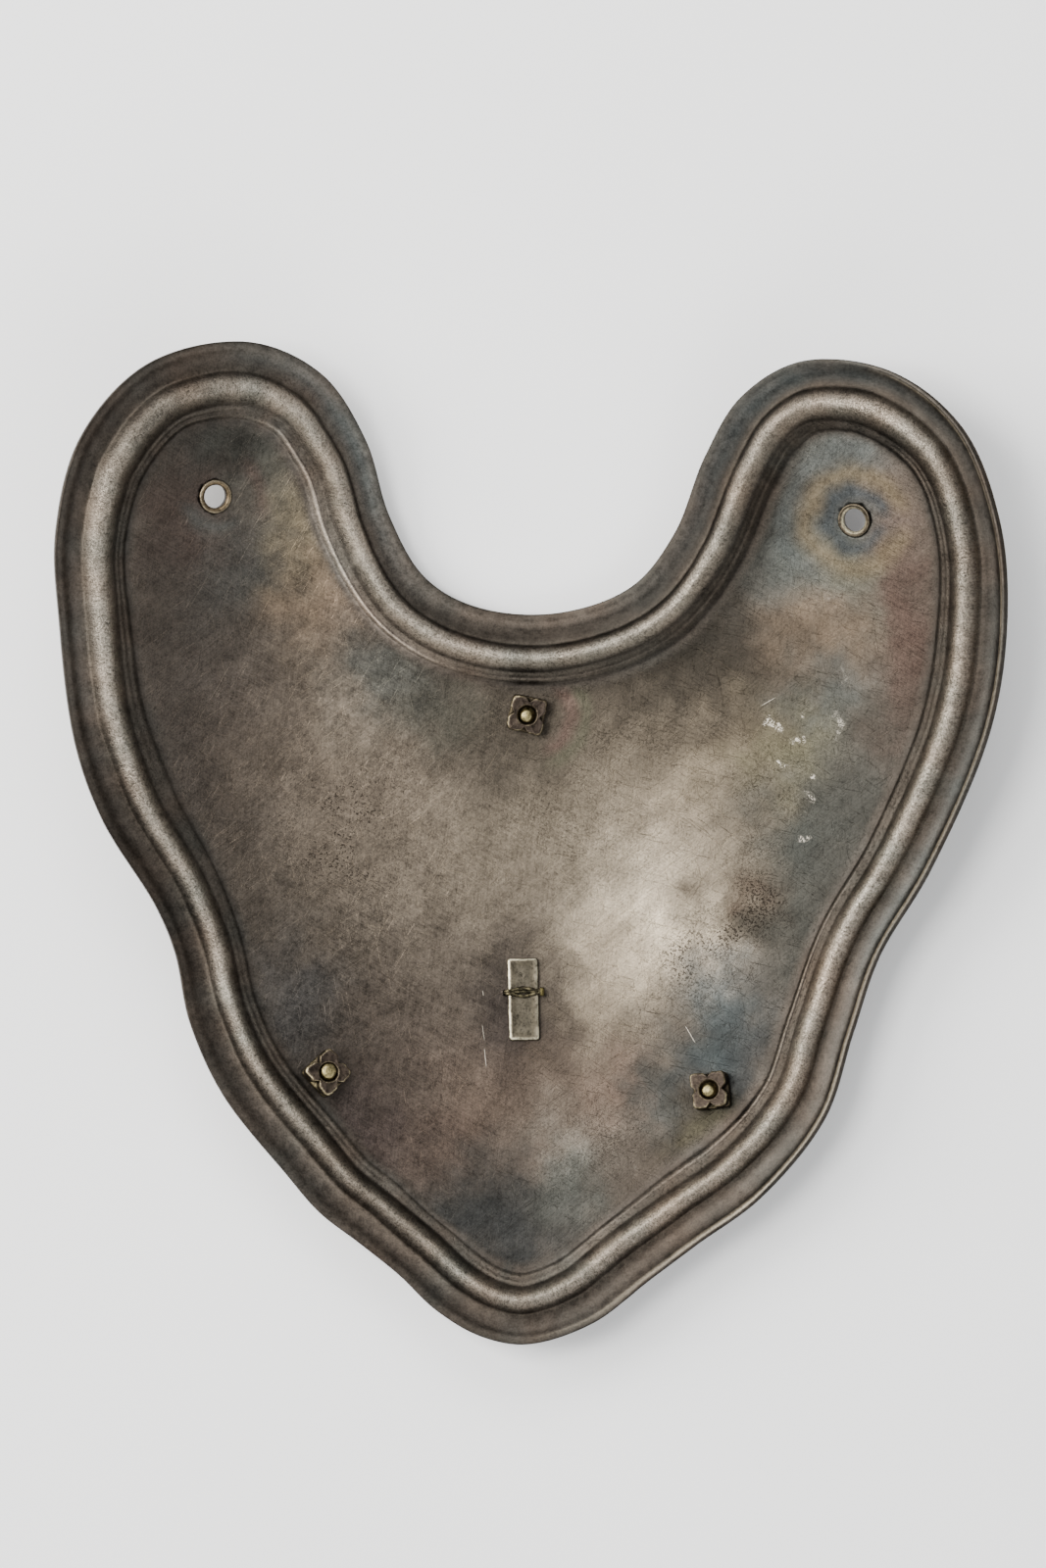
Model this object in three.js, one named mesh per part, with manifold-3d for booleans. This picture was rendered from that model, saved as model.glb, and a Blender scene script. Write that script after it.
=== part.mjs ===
// Heart-shaped steel duty gorget, lying on its domed face with its hollow back upwards.
// Millimetres, +Z up. +Y points to the wearer's neck, and +X is to the right as the back is seen.
// The plate is one pressed sheet. Its edge moulding runs, from the rim inwards, through a hollow
// flange, a rounded ridge and a stepped quirk to the plain field. Three studs with notched square
// nuts, two eyelets in the horns and a small bar under a wire staple are separate pieces.
import * as THREE from "three";
import { mergeVertices } from "three/addons/utils/BufferGeometryUtils.js";
import Module from "manifold-3d";

const wasm = await Module();
wasm.setup();

// Plate: size in plan, sheet, and the two bends that make its hollow back
const PLATE_WIDTH = 170;
const PLATE_HEIGHT = 180;
const SHEET = 1.1;
const WRAP_RADIUS = 165; // round the chest, about an upright axis
const CROWN_RADIUS = 420; // from neck to tip
const DEEPEST_ABOVE_MIDDLE = 6; // the bends' lowest point, above the middle of the height

// Edge moulding: widths of its three zones, and its height over the field
const FLANGE_WIDTH = 5.4;
const RIDGE_WIDTH = 4.9;
const STEP_WIDTH = 2.6;
const RIDGE_HEIGHT = 2.2;
const RIM_HEIGHT = 1.1;
const CHANNEL_DEPTH = 0.9;

// Studs and nuts
const STUD_RADIUS = 1.3;
const STUD_TIP_DOME = 0.45;
const STUD_HEAD_RADIUS = 3.2;
const STUD_HEAD_THICKNESS = 1.0;
const NUT_SIDE = 6.5;
const NUT_HEIGHT = 4.2;
const NUT_BASE_SHARE = 0.38; // of the nut's height, below its notches
const NUT_CORNER_RADIUS = 1.2;
const NOTCH_WIDTH = 1.7;
const NOTCH_DEPTH = 1.0;
const NUT_SINK_RADIUS = 1.8;
const NUT_SINK_DEPTH = 0.6;

// Eyelets in the horns
const EYELET_BORE_RADIUS = 2.05;
const EYELET_WALL = 0.4;
const EYELET_BACK_RIM = 0.65; // the rolled rim's width, outside the tube
const EYELET_FRONT_RIM = 1.15;
const EYELET_RIM_THICKNESS = 0.4;

// Bar and staple on the back
const BAR_WIDTH = 5.5;
const BAR_LENGTH = 14.8;
const BAR_THICKNESS = 1.1;
const BAR_CORNER_RADIUS = 0.5;
const BAR_BEVEL = 0.25;
const BAR_TURN = 1.2; // degrees
const STAPLE_ABOVE_BAR_MIDDLE = 1.2;
const STAPLE_END_WIDTH = 1.0;
const STAPLE_MIDDLE_WIDTH = 2.3;
const STAPLE_THICKNESS = 0.7;
const STAPLE_BEVEL = 0.2;
const STAPLE_LEG = 0.8;
const STAPLE_SLOT_WIDTH = 0.5;
const STAPLE_SLOT_SHARE = 0.55; // of the width of the bar
const SOCKET_DEPTH = 0.7;

// Clearances
const SEAT_GAP = 0.3; // under a piece that is seated on another
const BORE_GAP = 0.25; // round a shank, tube or leg in its hole

// Mesh steps
const STATIONS = 112;
const FIELD_STEP = 11;
const ROUND_STEPS = 20;
const EASE = 0.012; // share of the way round, over which the section's direction is evened out

// Outline in plan, clockwise from the tip as the back is seen.
// x is a share of half the width and y of half the height.
const OUTLINE = [
  { spot: "tip", x: -0.01, y: -0.999 },
  { spot: "tip, left of it", x: -0.11, y: -0.982 },
  { spot: "tip's left shoulder", x: -0.203, y: -0.93 },
  { spot: "first knock", x: -0.28, y: -0.861 },
  { spot: "lower left edge", x: -0.363, y: -0.798 },
  { spot: "lower left swell", x: -0.448, y: -0.736 },
  { spot: "lower left edge", x: -0.518, y: -0.66 },
  { spot: "left haunch", x: -0.651, y: -0.502 },
  { spot: "left haunch", x: -0.722, y: -0.355 },
  { spot: "left waist", x: -0.753, y: -0.217 },
  { spot: "left waist", x: -0.793, y: -0.125 },
  { spot: "left swell", x: -0.904, y: 0.047 },
  { spot: "left flank", x: -0.961, y: 0.2 },
  { spot: "left flank", x: -0.993, y: 0.438 },
  { spot: "left side, widest", x: -1.0, y: 0.62 },
  { spot: "left horn, outer side", x: -0.945, y: 0.813 },
  { spot: "left horn, shoulder", x: -0.802, y: 0.958 },
  { spot: "left horn, top", x: -0.595, y: 1.0 },
  { spot: "left horn, inner side", x: -0.443, y: 0.938 },
  { spot: "neck, upper left", x: -0.35, y: 0.807 },
  { spot: "neck, left", x: -0.3, y: 0.655 },
  { spot: "neck, lower left", x: -0.226, y: 0.534 },
  { spot: "neck, bottom left", x: -0.118, y: 0.475 },
  { spot: "neck, bottom right", x: 0.052, y: 0.462 },
  { spot: "neck, lower right", x: 0.212, y: 0.515 },
  { spot: "neck, right", x: 0.303, y: 0.622 },
  { spot: "neck, upper right", x: 0.366, y: 0.773 },
  { spot: "right horn, inner side", x: 0.443, y: 0.893 },
  { spot: "right horn, top", x: 0.57, y: 0.962 },
  { spot: "right horn, shoulder", x: 0.757, y: 0.94 },
  { spot: "right horn, outer side", x: 0.905, y: 0.828 },
  { spot: "right side", x: 0.983, y: 0.645 },
  { spot: "right side, widest", x: 1.0, y: 0.448 },
  { spot: "right flank", x: 0.967, y: 0.23 },
  { spot: "right flank", x: 0.843, y: -0.05 },
  { spot: "right waist", x: 0.735, y: -0.225 },
  { spot: "right waist", x: 0.68, y: -0.377 },
  { spot: "right haunch", x: 0.62, y: -0.548 },
  { spot: "lower right edge", x: 0.485, y: -0.706 },
  { spot: "lower right knock", x: 0.35, y: -0.8 },
  { spot: "lower right edge", x: 0.247, y: -0.873 },
  { spot: "tip's right shoulder", x: 0.13, y: -0.957 },
];

// Where the moulding was knocked wider or narrower, round the edge from the tip (a share of the
// way round): each zone's width as a share of its plain one, and the rim's height likewise.
const KNOCKS = [
  { round: 0.0, flange: 1.0, ridge: 0.95, step: 1.1, rim: 1.0 },
  { round: 0.03, flange: 1.0, ridge: 0.95, step: 1.0, rim: 0.9 },
  { round: 0.047, flange: 0.9, ridge: 1.0, step: 0.8, rim: 0.6 },
  { round: 0.065, flange: 1.03, ridge: 0.93, step: 1.05, rim: 1.2 },
  { round: 0.1, flange: 1.0, ridge: 0.98, step: 1.0, rim: 0.9 },
  { round: 0.135, flange: 1.03, ridge: 0.88, step: 1.05, rim: 1.1 },
  { round: 0.163, flange: 0.9, ridge: 0.96, step: 0.95, rim: 0.6 },
  { round: 0.215, flange: 1.0, ridge: 1.02, step: 1.35, rim: 1.2 },
  { round: 0.25, flange: 0.87, ridge: 1.04, step: 1.1, rim: 1.0 },
  { round: 0.28, flange: 0.87, ridge: 1.06, step: 0.88, rim: 1.0 },
  { round: 0.34, flange: 0.95, ridge: 1.14, step: 0.93, rim: 1.0 },
  { round: 0.385, flange: 1.0, ridge: 1.18, step: 1.13, rim: 1.1 },
  { round: 0.415, flange: 1.0, ridge: 1.12, step: 1.1, rim: 1.0 },
  { round: 0.441, flange: 0.87, ridge: 1.07, step: 1.2, rim: 1.0 },
  { round: 0.475, flange: 1.0, ridge: 0.98, step: 0.88, rim: 1.0 },
  { round: 0.53, flange: 1.03, ridge: 0.9, step: 1.07, rim: 1.0 },
  { round: 0.595, flange: 1.03, ridge: 1.08, step: 1.07, rim: 1.0 },
  { round: 0.647, flange: 0.87, ridge: 1.18, step: 0.75, rim: 1.0 },
  { round: 0.692, flange: 0.8, ridge: 1.0, step: 0.82, rim: 0.8 },
  { round: 0.75, flange: 1.0, ridge: 1.0, step: 1.0, rim: 1.1 },
  { round: 0.84, flange: 0.97, ridge: 0.97, step: 0.88, rim: 1.0 },
  { round: 0.9, flange: 1.03, ridge: 1.0, step: 1.05, rim: 1.1 },
  { round: 0.926, flange: 1.06, ridge: 0.96, step: 1.3, rim: 0.7 },
  { round: 0.96, flange: 1.06, ridge: 1.04, step: 0.88, rim: 1.1 },
];

// Section of the moulding on the back, from the rim inwards. at is the share of its zone's width.
// of says which named height the lift is a share of: the rim stands up, the channel goes down.
const SECTION = [
  { zone: "flange", at: 0.2, of: "rim", lift: 1.0 },
  { zone: "flange", at: 0.235, of: "rim", lift: 0.15 },
  { zone: "flange", at: 0.36, of: "channel", lift: -0.7 },
  { zone: "flange", at: 0.56, of: "channel", lift: -1.0 },
  { zone: "flange", at: 0.8, of: "channel", lift: -0.72 },
  { zone: "flange", at: 1.0, of: "channel", lift: -0.2 },
  { zone: "ridge", at: 0.13, of: "ridge", lift: 0.42 },
  { zone: "ridge", at: 0.32, of: "ridge", lift: 0.85 },
  { zone: "ridge", at: 0.53, of: "ridge", lift: 1.0 },
  { zone: "ridge", at: 0.75, of: "ridge", lift: 0.8 },
  { zone: "ridge", at: 0.95, of: "ridge", lift: 0.32 },
  { zone: "step", at: 0.28, of: "ridge", lift: 0.36 },
  { zone: "step", at: 0.52, of: "ridge", lift: 0.19 },
  { zone: "step", at: 0.76, of: "ridge", lift: 0.24 },
  { zone: "step", at: 1.0, of: "ridge", lift: 0.0 },
];

// Studs with their nuts. round is where they stand along the edge, as a share of the way round,
// clear is the nut's middle inside the field's edge, as a share of its side, and turn is in degrees.
const STUDS = [
  { side: "top", round: 0.5039, clear: 0.83, turn: -12 },
  { side: "left", round: 0.1043, clear: 0.64, turn: 42 },
  { side: "right", round: 0.9029, clear: 0.96, turn: 7 },
];

// Eyelets and bar, by plan shares of half the width and half the height
const EYELETS = [
  { side: "left", x: -0.6675, y: 0.693 },
  { side: "right", x: 0.6817, y: 0.6458 },
];
const BAR_SPOT = { x: -0.017, y: -0.3115 };

const STEEL = new THREE.MeshStandardMaterial({ color: 0x6f655b, roughness: 0.42, metalness: 1 });
const NUT_STEEL = new THREE.MeshStandardMaterial({ color: 0x4a423b, roughness: 0.5, metalness: 1 });
const BRASS = new THREE.MeshStandardMaterial({ color: 0xb3a172, roughness: 0.3, metalness: 1 });
const BAR_METAL = new THREE.MeshStandardMaterial({ color: 0xa9a297, roughness: 0.35, metalness: 1 });
const WIRE_METAL = new THREE.MeshStandardMaterial({ color: 0x55503f, roughness: 0.5, metalness: 1 });

// Solids and geometries

function solidOf(geometry) {
  const bare = geometry.index ? geometry.toNonIndexed() : geometry.clone();
  bare.deleteAttribute("normal");
  bare.deleteAttribute("uv");
  const merged = mergeVertices(bare, 1e-4);
  const vertProperties = merged.attributes.position.array;
  const triVerts = new Uint32Array(merged.index.array);
  return new wasm.Manifold(new wasm.Mesh({ numProp: 3, vertProperties, triVerts }));
}

function geometryOf(solid) {
  const mesh = solid.getMesh();
  const geometry = new THREE.BufferGeometry();
  geometry.setAttribute("position", new THREE.BufferAttribute(mesh.vertProperties, 3));
  geometry.setIndex(new THREE.BufferAttribute(mesh.triVerts, 1));
  geometry.computeVertexNormals();
  return geometry;
}

// An upright cylinder from z = low to z = high
function peg(radius, low, high) {
  const geometry = new THREE.CylinderGeometry(radius, radius, high - low, ROUND_STEPS);
  return geometry.rotateX(Math.PI / 2).translate(0, 0, (low + high) / 2);
}

// The bent plate

// Point at plan position x, y, lifted off the back of the plate's plain surface along its normal
function place(x, y, lift = 0) {
  const dx = x;
  const dy = y - DEEPEST_ABOVE_MIDDLE;
  const wrap = Math.sqrt(WRAP_RADIUS ** 2 - dx ** 2);
  const crown = Math.sqrt(CROWN_RADIUS ** 2 - dy ** 2);
  const normal = new THREE.Vector3(-dx / wrap, -dy / crown, 1).normalize();
  const foot = new THREE.Vector3(x, y, WRAP_RADIUS - wrap + CROWN_RADIUS - crown);
  return { point: foot.addScaledVector(normal, lift), normal };
}

// Frame of a piece seated at x, y: its own +Z is the plate's normal, turned by degrees about it
function seat(x, y, degrees = 0) {
  const { point, normal } = place(x, y);
  const across = new THREE.Vector3(0, 1, 0).cross(normal).normalize();
  const along = new THREE.Vector3().crossVectors(normal, across);
  const frame = new THREE.Matrix4().makeBasis(across, along, normal).setPosition(point);
  return frame.multiply(new THREE.Matrix4().makeRotationZ(THREE.MathUtils.degToRad(degrees)));
}

const inPlan = ({ x, y }) => new THREE.Vector3((x * PLATE_WIDTH) / 2, (y * PLATE_HEIGHT) / 2, 0);
const outline = new THREE.CatmullRomCurve3(OUTLINE.map(inPlan), true, "centripetal");
outline.arcLengthDivisions = 1200;

// The knocked shares at a place round the edge, eased from one row to the next
function knocksAt(round) {
  const next = KNOCKS.findIndex((row) => row.round > round);
  const b = next < 0 ? { ...KNOCKS[0], round: 1 } : KNOCKS[next];
  const a = next < 0 ? KNOCKS[KNOCKS.length - 1] : KNOCKS[next - 1];
  const t = THREE.MathUtils.smoothstep(round, a.round, b.round);
  const mix = (name) => THREE.MathUtils.lerp(a[name], b[name], t);
  return { flange: mix("flange"), ridge: mix("ridge"), step: mix("step"), rim: mix("rim") };
}

// The moulding's section at a station, back and front: distance in from the rim, and lift.
// The front line is the back line set off by the sheet, square to the line through its neighbours.
function sectionLines(widths, heights) {
  const starts = { flange: 0, ridge: widths.flange, step: widths.flange + widths.ridge };
  const back = SECTION.map(({ zone, at, of, lift }) =>
    new THREE.Vector2(starts[zone] + at * widths[zone], lift * heights[of]));
  const front = back.map((point, k) => {
    const before = back[Math.max(k - 1, 0)];
    const after = back[Math.min(k + 1, back.length - 1)];
    const run = after.clone().sub(before).normalize();
    return new THREE.Vector2(run.y, -run.x).multiplyScalar(SHEET).add(point);
  });
  front[back.length - 1].set(back[back.length - 1].x, -SHEET);
  return { back, front };
}

// One place round the edge. Where the plate wraps round, the rim leans in and the channel under it
// bulges out, so the section is set in or out until it just reaches the outline in plan.
function station(round) {
  const edge = outline.getPointAt(round);
  const ahead = outline.getPointAt((round + EASE) % 1);
  const behind = outline.getPointAt((round - EASE + 1) % 1);
  const run = ahead.sub(behind).normalize();
  const inward = new THREE.Vector3(run.y, -run.x, 0);
  const knocks = knocksAt(round);
  const widths = {
    flange: FLANGE_WIDTH * knocks.flange,
    ridge: RIDGE_WIDTH * knocks.ridge,
    step: STEP_WIDTH * knocks.step,
  };
  const heights = { rim: RIM_HEIGHT * knocks.rim, channel: CHANNEL_DEPTH, ridge: RIDGE_HEIGHT };
  const { back, front } = sectionLines(widths, heights);
  const reaches = [...back, ...front].map(({ x, y }) => {
    const plan = planPoint({ foot: edge, inward }, x);
    return place(plan.x, plan.y, y).point.sub(edge).dot(inward);
  });
  const foot = planPoint({ foot: edge, inward }, -Math.min(...reaches));
  return { foot, inward, back, front, fieldEdge: back.at(-1).x };
}

function planPoint({ foot, inward }, distance) {
  return foot.clone().addScaledVector(inward, distance);
}

// Whether a plan point lies inside a polygon of plan points
function inside(polygon, { x, y }) {
  let odd = false;
  polygon.forEach((a, i) => {
    const b = polygon[(i + 1) % polygon.length];
    if (a.y > y !== b.y > y && x < ((b.x - a.x) * (y - a.y)) / (b.y - a.y) + a.x) odd = !odd;
  });
  return odd;
}

// Points of the plain field on a grid of even triangles, clear of the moulding's inner edge
function fieldGrid(polygon) {
  const row = FIELD_STEP * Math.sin(Math.PI / 3);
  const points = [];
  for (let j = -Math.ceil(PLATE_HEIGHT / 2 / row); j * row < PLATE_HEIGHT / 2; j++)
    for (let i = -Math.ceil(PLATE_WIDTH / 2 / FIELD_STEP); i * FIELD_STEP < PLATE_WIDTH / 2; i++) {
      const point = new THREE.Vector3((i + (j % 2 ? 0.5 : 0)) * FIELD_STEP, j * row, 0);
      const clear = polygon.every((edge) => edge.distanceTo(point) > FIELD_STEP / 2);
      if (clear && inside(polygon, point)) points.push(point);
    }
  return points;
}

// Delaunay triangles of plan points, made by adding one point at a time, anticlockwise in plan
function delaunay(points) {
  const far = 20 * (PLATE_WIDTH + PLATE_HEIGHT);
  const corners = [[-far, -far], [far, -far], [0, far]].map(([x, y]) => new THREE.Vector3(x, y, 0));
  const all = [...points, ...corners];
  const circled = (triangle, p) => {
    const [a, b, c] = triangle.map((i) => all[i].clone().sub(p));
    const squares = [a.lengthSq(), b.lengthSq(), c.lengthSq()];
    return new THREE.Matrix3().set(
      a.x, a.y, squares[0], b.x, b.y, squares[1], c.x, c.y, squares[2],
    ).determinant() > 0;
  };
  let triangles = [[points.length, points.length + 1, points.length + 2]];
  points.forEach((point, index) => {
    const hit = triangles.filter((triangle) => circled(triangle, point));
    const sides = hit.flatMap(([a, b, c]) => [[a, b], [b, c], [c, a]]);
    const border = sides.filter(([a, b]) => !sides.some(([c, d]) => c === b && d === a));
    triangles = triangles.filter((triangle) => !hit.includes(triangle));
    triangles.push(...border.map(([a, b]) => [a, b, index]));
  });
  return triangles.filter((triangle) => triangle.every((i) => i < points.length));
}

// The pressed sheet before its holes: rings of the moulding's section round the edge, from the
// front's inner line over the rim to the back's inner line, closed by the field on both faces.
function sheetSolid() {
  const stations = Array.from({ length: STATIONS }, (_, i) => station(i / STATIONS));
  const vertices = [];
  const add = (plan, lift) => vertices.push(place(plan.x, plan.y, lift).point) - 1;
  const ring = (face, k) => stations.map((s) => add(planPoint(s, s[face][k].x), s[face][k].y));
  const frontRings = SECTION.map((_, k) => ring("front", k)).reverse();
  const rings = [...frontRings, ...SECTION.map((_, k) => ring("back", k))];
  const faces = [];
  for (let k = 0; k + 1 < rings.length; k++)
    for (let i = 0; i < STATIONS; i++) {
      const next = (i + 1) % STATIONS;
      const [a, b, c, d] = [rings[k][i], rings[k][next], rings[k + 1][next], rings[k + 1][i]];
      faces.push([a, d, c], [a, c, b]);
    }
  const polygon = stations.map((s) => planPoint(s, s.fieldEdge));
  const grid = fieldGrid(polygon);
  const plan = [...polygon, ...grid];
  const frontField = [...rings[0], ...grid.map((point) => add(point, -SHEET))];
  const backField = [...rings.at(-1), ...grid.map((point) => add(point, 0))];
  for (const [a, b, c] of delaunay(plan)) {
    const middle = plan[a].clone().add(plan[b]).add(plan[c]).divideScalar(3);
    if (!inside(polygon, middle)) continue;
    faces.push([backField[a], backField[b], backField[c]]);
    faces.push([frontField[a], frontField[c], frontField[b]]);
  }
  const geometry = new THREE.BufferGeometry().setFromPoints(vertices);
  geometry.setIndex(faces.flat());
  return solidOf(geometry);
}

// Frames of the pieces that are seated on the plate

const studFrames = STUDS.map(({ side, round, clear, turn }) => {
  const s = station(round);
  const { x, y } = planPoint(s, s.fieldEdge + clear * NUT_SIDE);
  return { side, frame: seat(x, y, turn) };
});
const eyeletFrames = EYELETS.map((eyelet) => {
  const { x, y } = inPlan(eyelet);
  return { side: eyelet.side, frame: seat(x, y) };
});
const barMiddle = inPlan(BAR_SPOT);
const barFrame = seat(barMiddle.x, barMiddle.y, BAR_TURN);

// Middles of the staple's legs across the bar, in the bar's frame
const legReach = BAR_WIDTH / 2 + BORE_GAP + STAPLE_LEG / 2;
const barTop = SEAT_GAP + BAR_THICKNESS;
const stapleTop = barTop + BORE_GAP + STAPLE_THICKNESS;
const LEGS = [
  { x: -legReach, width: STAPLE_END_WIDTH },
  { x: legReach, width: STAPLE_END_WIDTH * 1.7 },
];

// A box of the given width, length and height range, in the middle of x and y
function block(x, y, width, length, low, high) {
  return new THREE.BoxGeometry(width, length, high - low).translate(x, y, (low + high) / 2);
}

function plateMesh() {
  const through = 2 * SHEET;
  const cuts = [
    ...studFrames.map(({ frame }) =>
      peg(STUD_RADIUS + BORE_GAP, -through, SHEET).applyMatrix4(frame)),
    ...eyeletFrames.map(({ frame }) =>
      peg(EYELET_BORE_RADIUS + EYELET_WALL + BORE_GAP, -through, SHEET).applyMatrix4(frame)),
    ...LEGS.map(({ x, width }) =>
      block(x, STAPLE_ABOVE_BAR_MIDDLE, STAPLE_LEG + 2 * BORE_GAP, width + 2 * BORE_GAP,
        -SOCKET_DEPTH, SHEET).applyMatrix4(barFrame)),
  ];
  const solid = cuts.reduce((left, cut) => left.subtract(solidOf(cut)), sheetSolid());
  const mesh = new THREE.Mesh(geometryOf(solid), STEEL);
  mesh.name = "gorget_plate";
  return mesh;
}

// A mesh seated on the plate by a frame
function seated(name, geometry, material, frame) {
  const mesh = new THREE.Mesh(geometry, material);
  mesh.name = name;
  mesh.applyMatrix4(frame);
  return mesh;
}

// Square with round corners, and a V notch in the middle of each side if it has a depth
function nutOutline(notchDepth) {
  const half = NUT_SIDE / 2;
  const flat = half - NUT_CORNER_RADIUS;
  const shape = new THREE.Shape();
  for (let side = 0; side < 4; side++) {
    const angle = (side * Math.PI) / 2;
    const turned = (x, y) =>
      [x * Math.cos(angle) - y * Math.sin(angle), x * Math.sin(angle) + y * Math.cos(angle)];
    const points = [[half, -flat]];
    if (notchDepth)
      points.push([half, -NOTCH_WIDTH / 2], [half - notchDepth, 0], [half, NOTCH_WIDTH / 2]);
    points.push([half, flat]);
    points.forEach(([x, y], i) => {
      if (side === 0 && i === 0) shape.moveTo(...turned(x, y));
      else shape.lineTo(...turned(x, y));
    });
    shape.absarc(...turned(flat, flat), NUT_CORNER_RADIUS, angle, angle + Math.PI / 2, false);
  }
  return shape;
}

function nutSolid() {
  const extrude = (shape, depth) =>
    solidOf(new THREE.ExtrudeGeometry(shape, { depth, bevelEnabled: false, curveSegments: 4 }));
  const base = extrude(nutOutline(0), NUT_HEIGHT * NUT_BASE_SHARE);
  const crown = extrude(nutOutline(NOTCH_DEPTH), NUT_HEIGHT);
  const bore = peg(STUD_RADIUS + BORE_GAP, -SEAT_GAP, NUT_HEIGHT + SEAT_GAP);
  const sink = new THREE.CylinderGeometry(
    NUT_SINK_RADIUS, STUD_RADIUS + BORE_GAP, NUT_SINK_DEPTH, ROUND_STEPS, 1);
  sink.rotateX(Math.PI / 2).translate(0, 0, NUT_HEIGHT - NUT_SINK_DEPTH / 2 + BORE_GAP / 4);
  return base.add(crown).subtract(solidOf(bore)).subtract(solidOf(sink));
}

// Stud: a low domed head under the front, a shank, and a domed tip level with the nut's top
function studProfile() {
  const seatLevel = -SHEET - SEAT_GAP;
  const headBottom = seatLevel - STUD_HEAD_THICKNESS;
  const tip = SEAT_GAP + NUT_HEIGHT + STUD_TIP_DOME / 2;
  const profile = [new THREE.Vector2(0, headBottom)];
  for (const angle of [30, 60, 90].map(THREE.MathUtils.degToRad))
    profile.push(new THREE.Vector2(
      STUD_HEAD_RADIUS * Math.sin(angle),
      headBottom + STUD_HEAD_THICKNESS * 0.75 * (1 - Math.cos(angle))));
  profile.push(new THREE.Vector2(STUD_HEAD_RADIUS, seatLevel));
  profile.push(new THREE.Vector2(STUD_RADIUS, seatLevel));
  for (const angle of [0, 35, 70].map(THREE.MathUtils.degToRad))
    profile.push(new THREE.Vector2(
      STUD_RADIUS * Math.cos(angle), tip - STUD_TIP_DOME * (1 - Math.sin(angle))));
  profile.push(new THREE.Vector2(0, tip));
  return profile;
}

// Eyelet: a tube through the plate, rolled over into a rim on each face
function eyeletProfile() {
  const tube = EYELET_BORE_RADIUS + EYELET_WALL;
  const backSeat = SEAT_GAP;
  const frontSeat = -SHEET - SEAT_GAP;
  const back = backSeat + EYELET_RIM_THICKNESS;
  const front = frontSeat - EYELET_RIM_THICKNESS;
  const soften = EYELET_RIM_THICKNESS / 2;
  return [
    [EYELET_BORE_RADIUS, front + soften],
    [EYELET_BORE_RADIUS + soften, front],
    [tube + EYELET_FRONT_RIM - soften, front],
    [tube + EYELET_FRONT_RIM, front + soften],
    [tube + EYELET_FRONT_RIM, frontSeat],
    [tube, frontSeat],
    [tube, backSeat],
    [tube + EYELET_BACK_RIM, backSeat],
    [tube + EYELET_BACK_RIM, back - soften],
    [tube + EYELET_BACK_RIM - soften, back],
    [EYELET_BORE_RADIUS + soften, back],
    [EYELET_BORE_RADIUS, back - soften],
    [EYELET_BORE_RADIUS, front + soften],
  ].map(([radius, height]) => new THREE.Vector2(radius, height));
}

// A turned solid with its axis along +Z
function turned(profile) {
  const geometry = new THREE.LatheGeometry(profile, ROUND_STEPS).rotateX(Math.PI / 2);
  return geometryOf(solidOf(geometry));
}

function barGeometry() {
  const [x, y] = [BAR_WIDTH / 2 - BAR_BEVEL, BAR_LENGTH / 2 - BAR_BEVEL];
  const r = BAR_CORNER_RADIUS;
  const shape = new THREE.Shape();
  shape.moveTo(x, -y + r);
  shape.absarc(x - r, y - r, r, 0, Math.PI / 2, false);
  shape.absarc(-x + r, y - r, r, Math.PI / 2, Math.PI, false);
  shape.absarc(-x + r, -y + r, r, Math.PI, 1.5 * Math.PI, false);
  shape.absarc(x - r, -y + r, r, 1.5 * Math.PI, 2 * Math.PI, false);
  const geometry = new THREE.ExtrudeGeometry(shape, {
    depth: BAR_THICKNESS - 2 * BAR_BEVEL,
    bevelSize: BAR_BEVEL,
    bevelThickness: BAR_BEVEL,
    bevelSegments: 1,
    curveSegments: 3,
  });
  return geometryOf(solidOf(geometry.translate(0, 0, SEAT_GAP + BAR_BEVEL)));
}

// Staple: a crown like a flattened wire eye over the bar, widest in its middle, and two legs
function stapleGeometry() {
  const reach = legReach + STAPLE_LEG / 2;
  const end = STAPLE_END_WIDTH / 2 - STAPLE_BEVEL;
  const middle = STAPLE_MIDDLE_WIDTH / 2 - STAPLE_BEVEL;
  const crown = new THREE.Shape();
  crown.moveTo(-reach + STAPLE_BEVEL, -end);
  crown.bezierCurveTo(-reach / 2, -end, -reach / 2, -middle, 0, -middle);
  crown.bezierCurveTo(reach / 2, -middle, reach / 2, -end, reach - STAPLE_BEVEL, -end);
  crown.lineTo(reach - STAPLE_BEVEL, end);
  crown.bezierCurveTo(reach / 2, end, reach / 2, middle, 0, middle);
  crown.bezierCurveTo(-reach / 2, middle, -reach / 2, end, -reach + STAPLE_BEVEL, end);
  const eye = new THREE.Path();
  eye.absellipse(
    0, 0, (BAR_WIDTH * STAPLE_SLOT_SHARE) / 2, STAPLE_SLOT_WIDTH / 2 + STAPLE_BEVEL, 0, 2 * Math.PI);
  crown.holes.push(eye);
  const strap = new THREE.ExtrudeGeometry(crown, {
    depth: STAPLE_THICKNESS - 2 * STAPLE_BEVEL,
    bevelSize: STAPLE_BEVEL,
    bevelThickness: STAPLE_BEVEL,
    bevelSegments: 1,
    curveSegments: 5,
  }).translate(0, 0, stapleTop - STAPLE_THICKNESS + STAPLE_BEVEL);
  const foot = BORE_GAP - SOCKET_DEPTH;
  const legs = LEGS.map(({ x, width }) =>
    solidOf(block(x, 0, STAPLE_LEG, width, foot, stapleTop - STAPLE_BEVEL)));
  const solid = legs.reduce((whole, leg) => whole.add(leg), solidOf(strap));
  return geometryOf(solid).translate(0, STAPLE_ABOVE_BAR_MIDDLE, 0);
}

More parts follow.
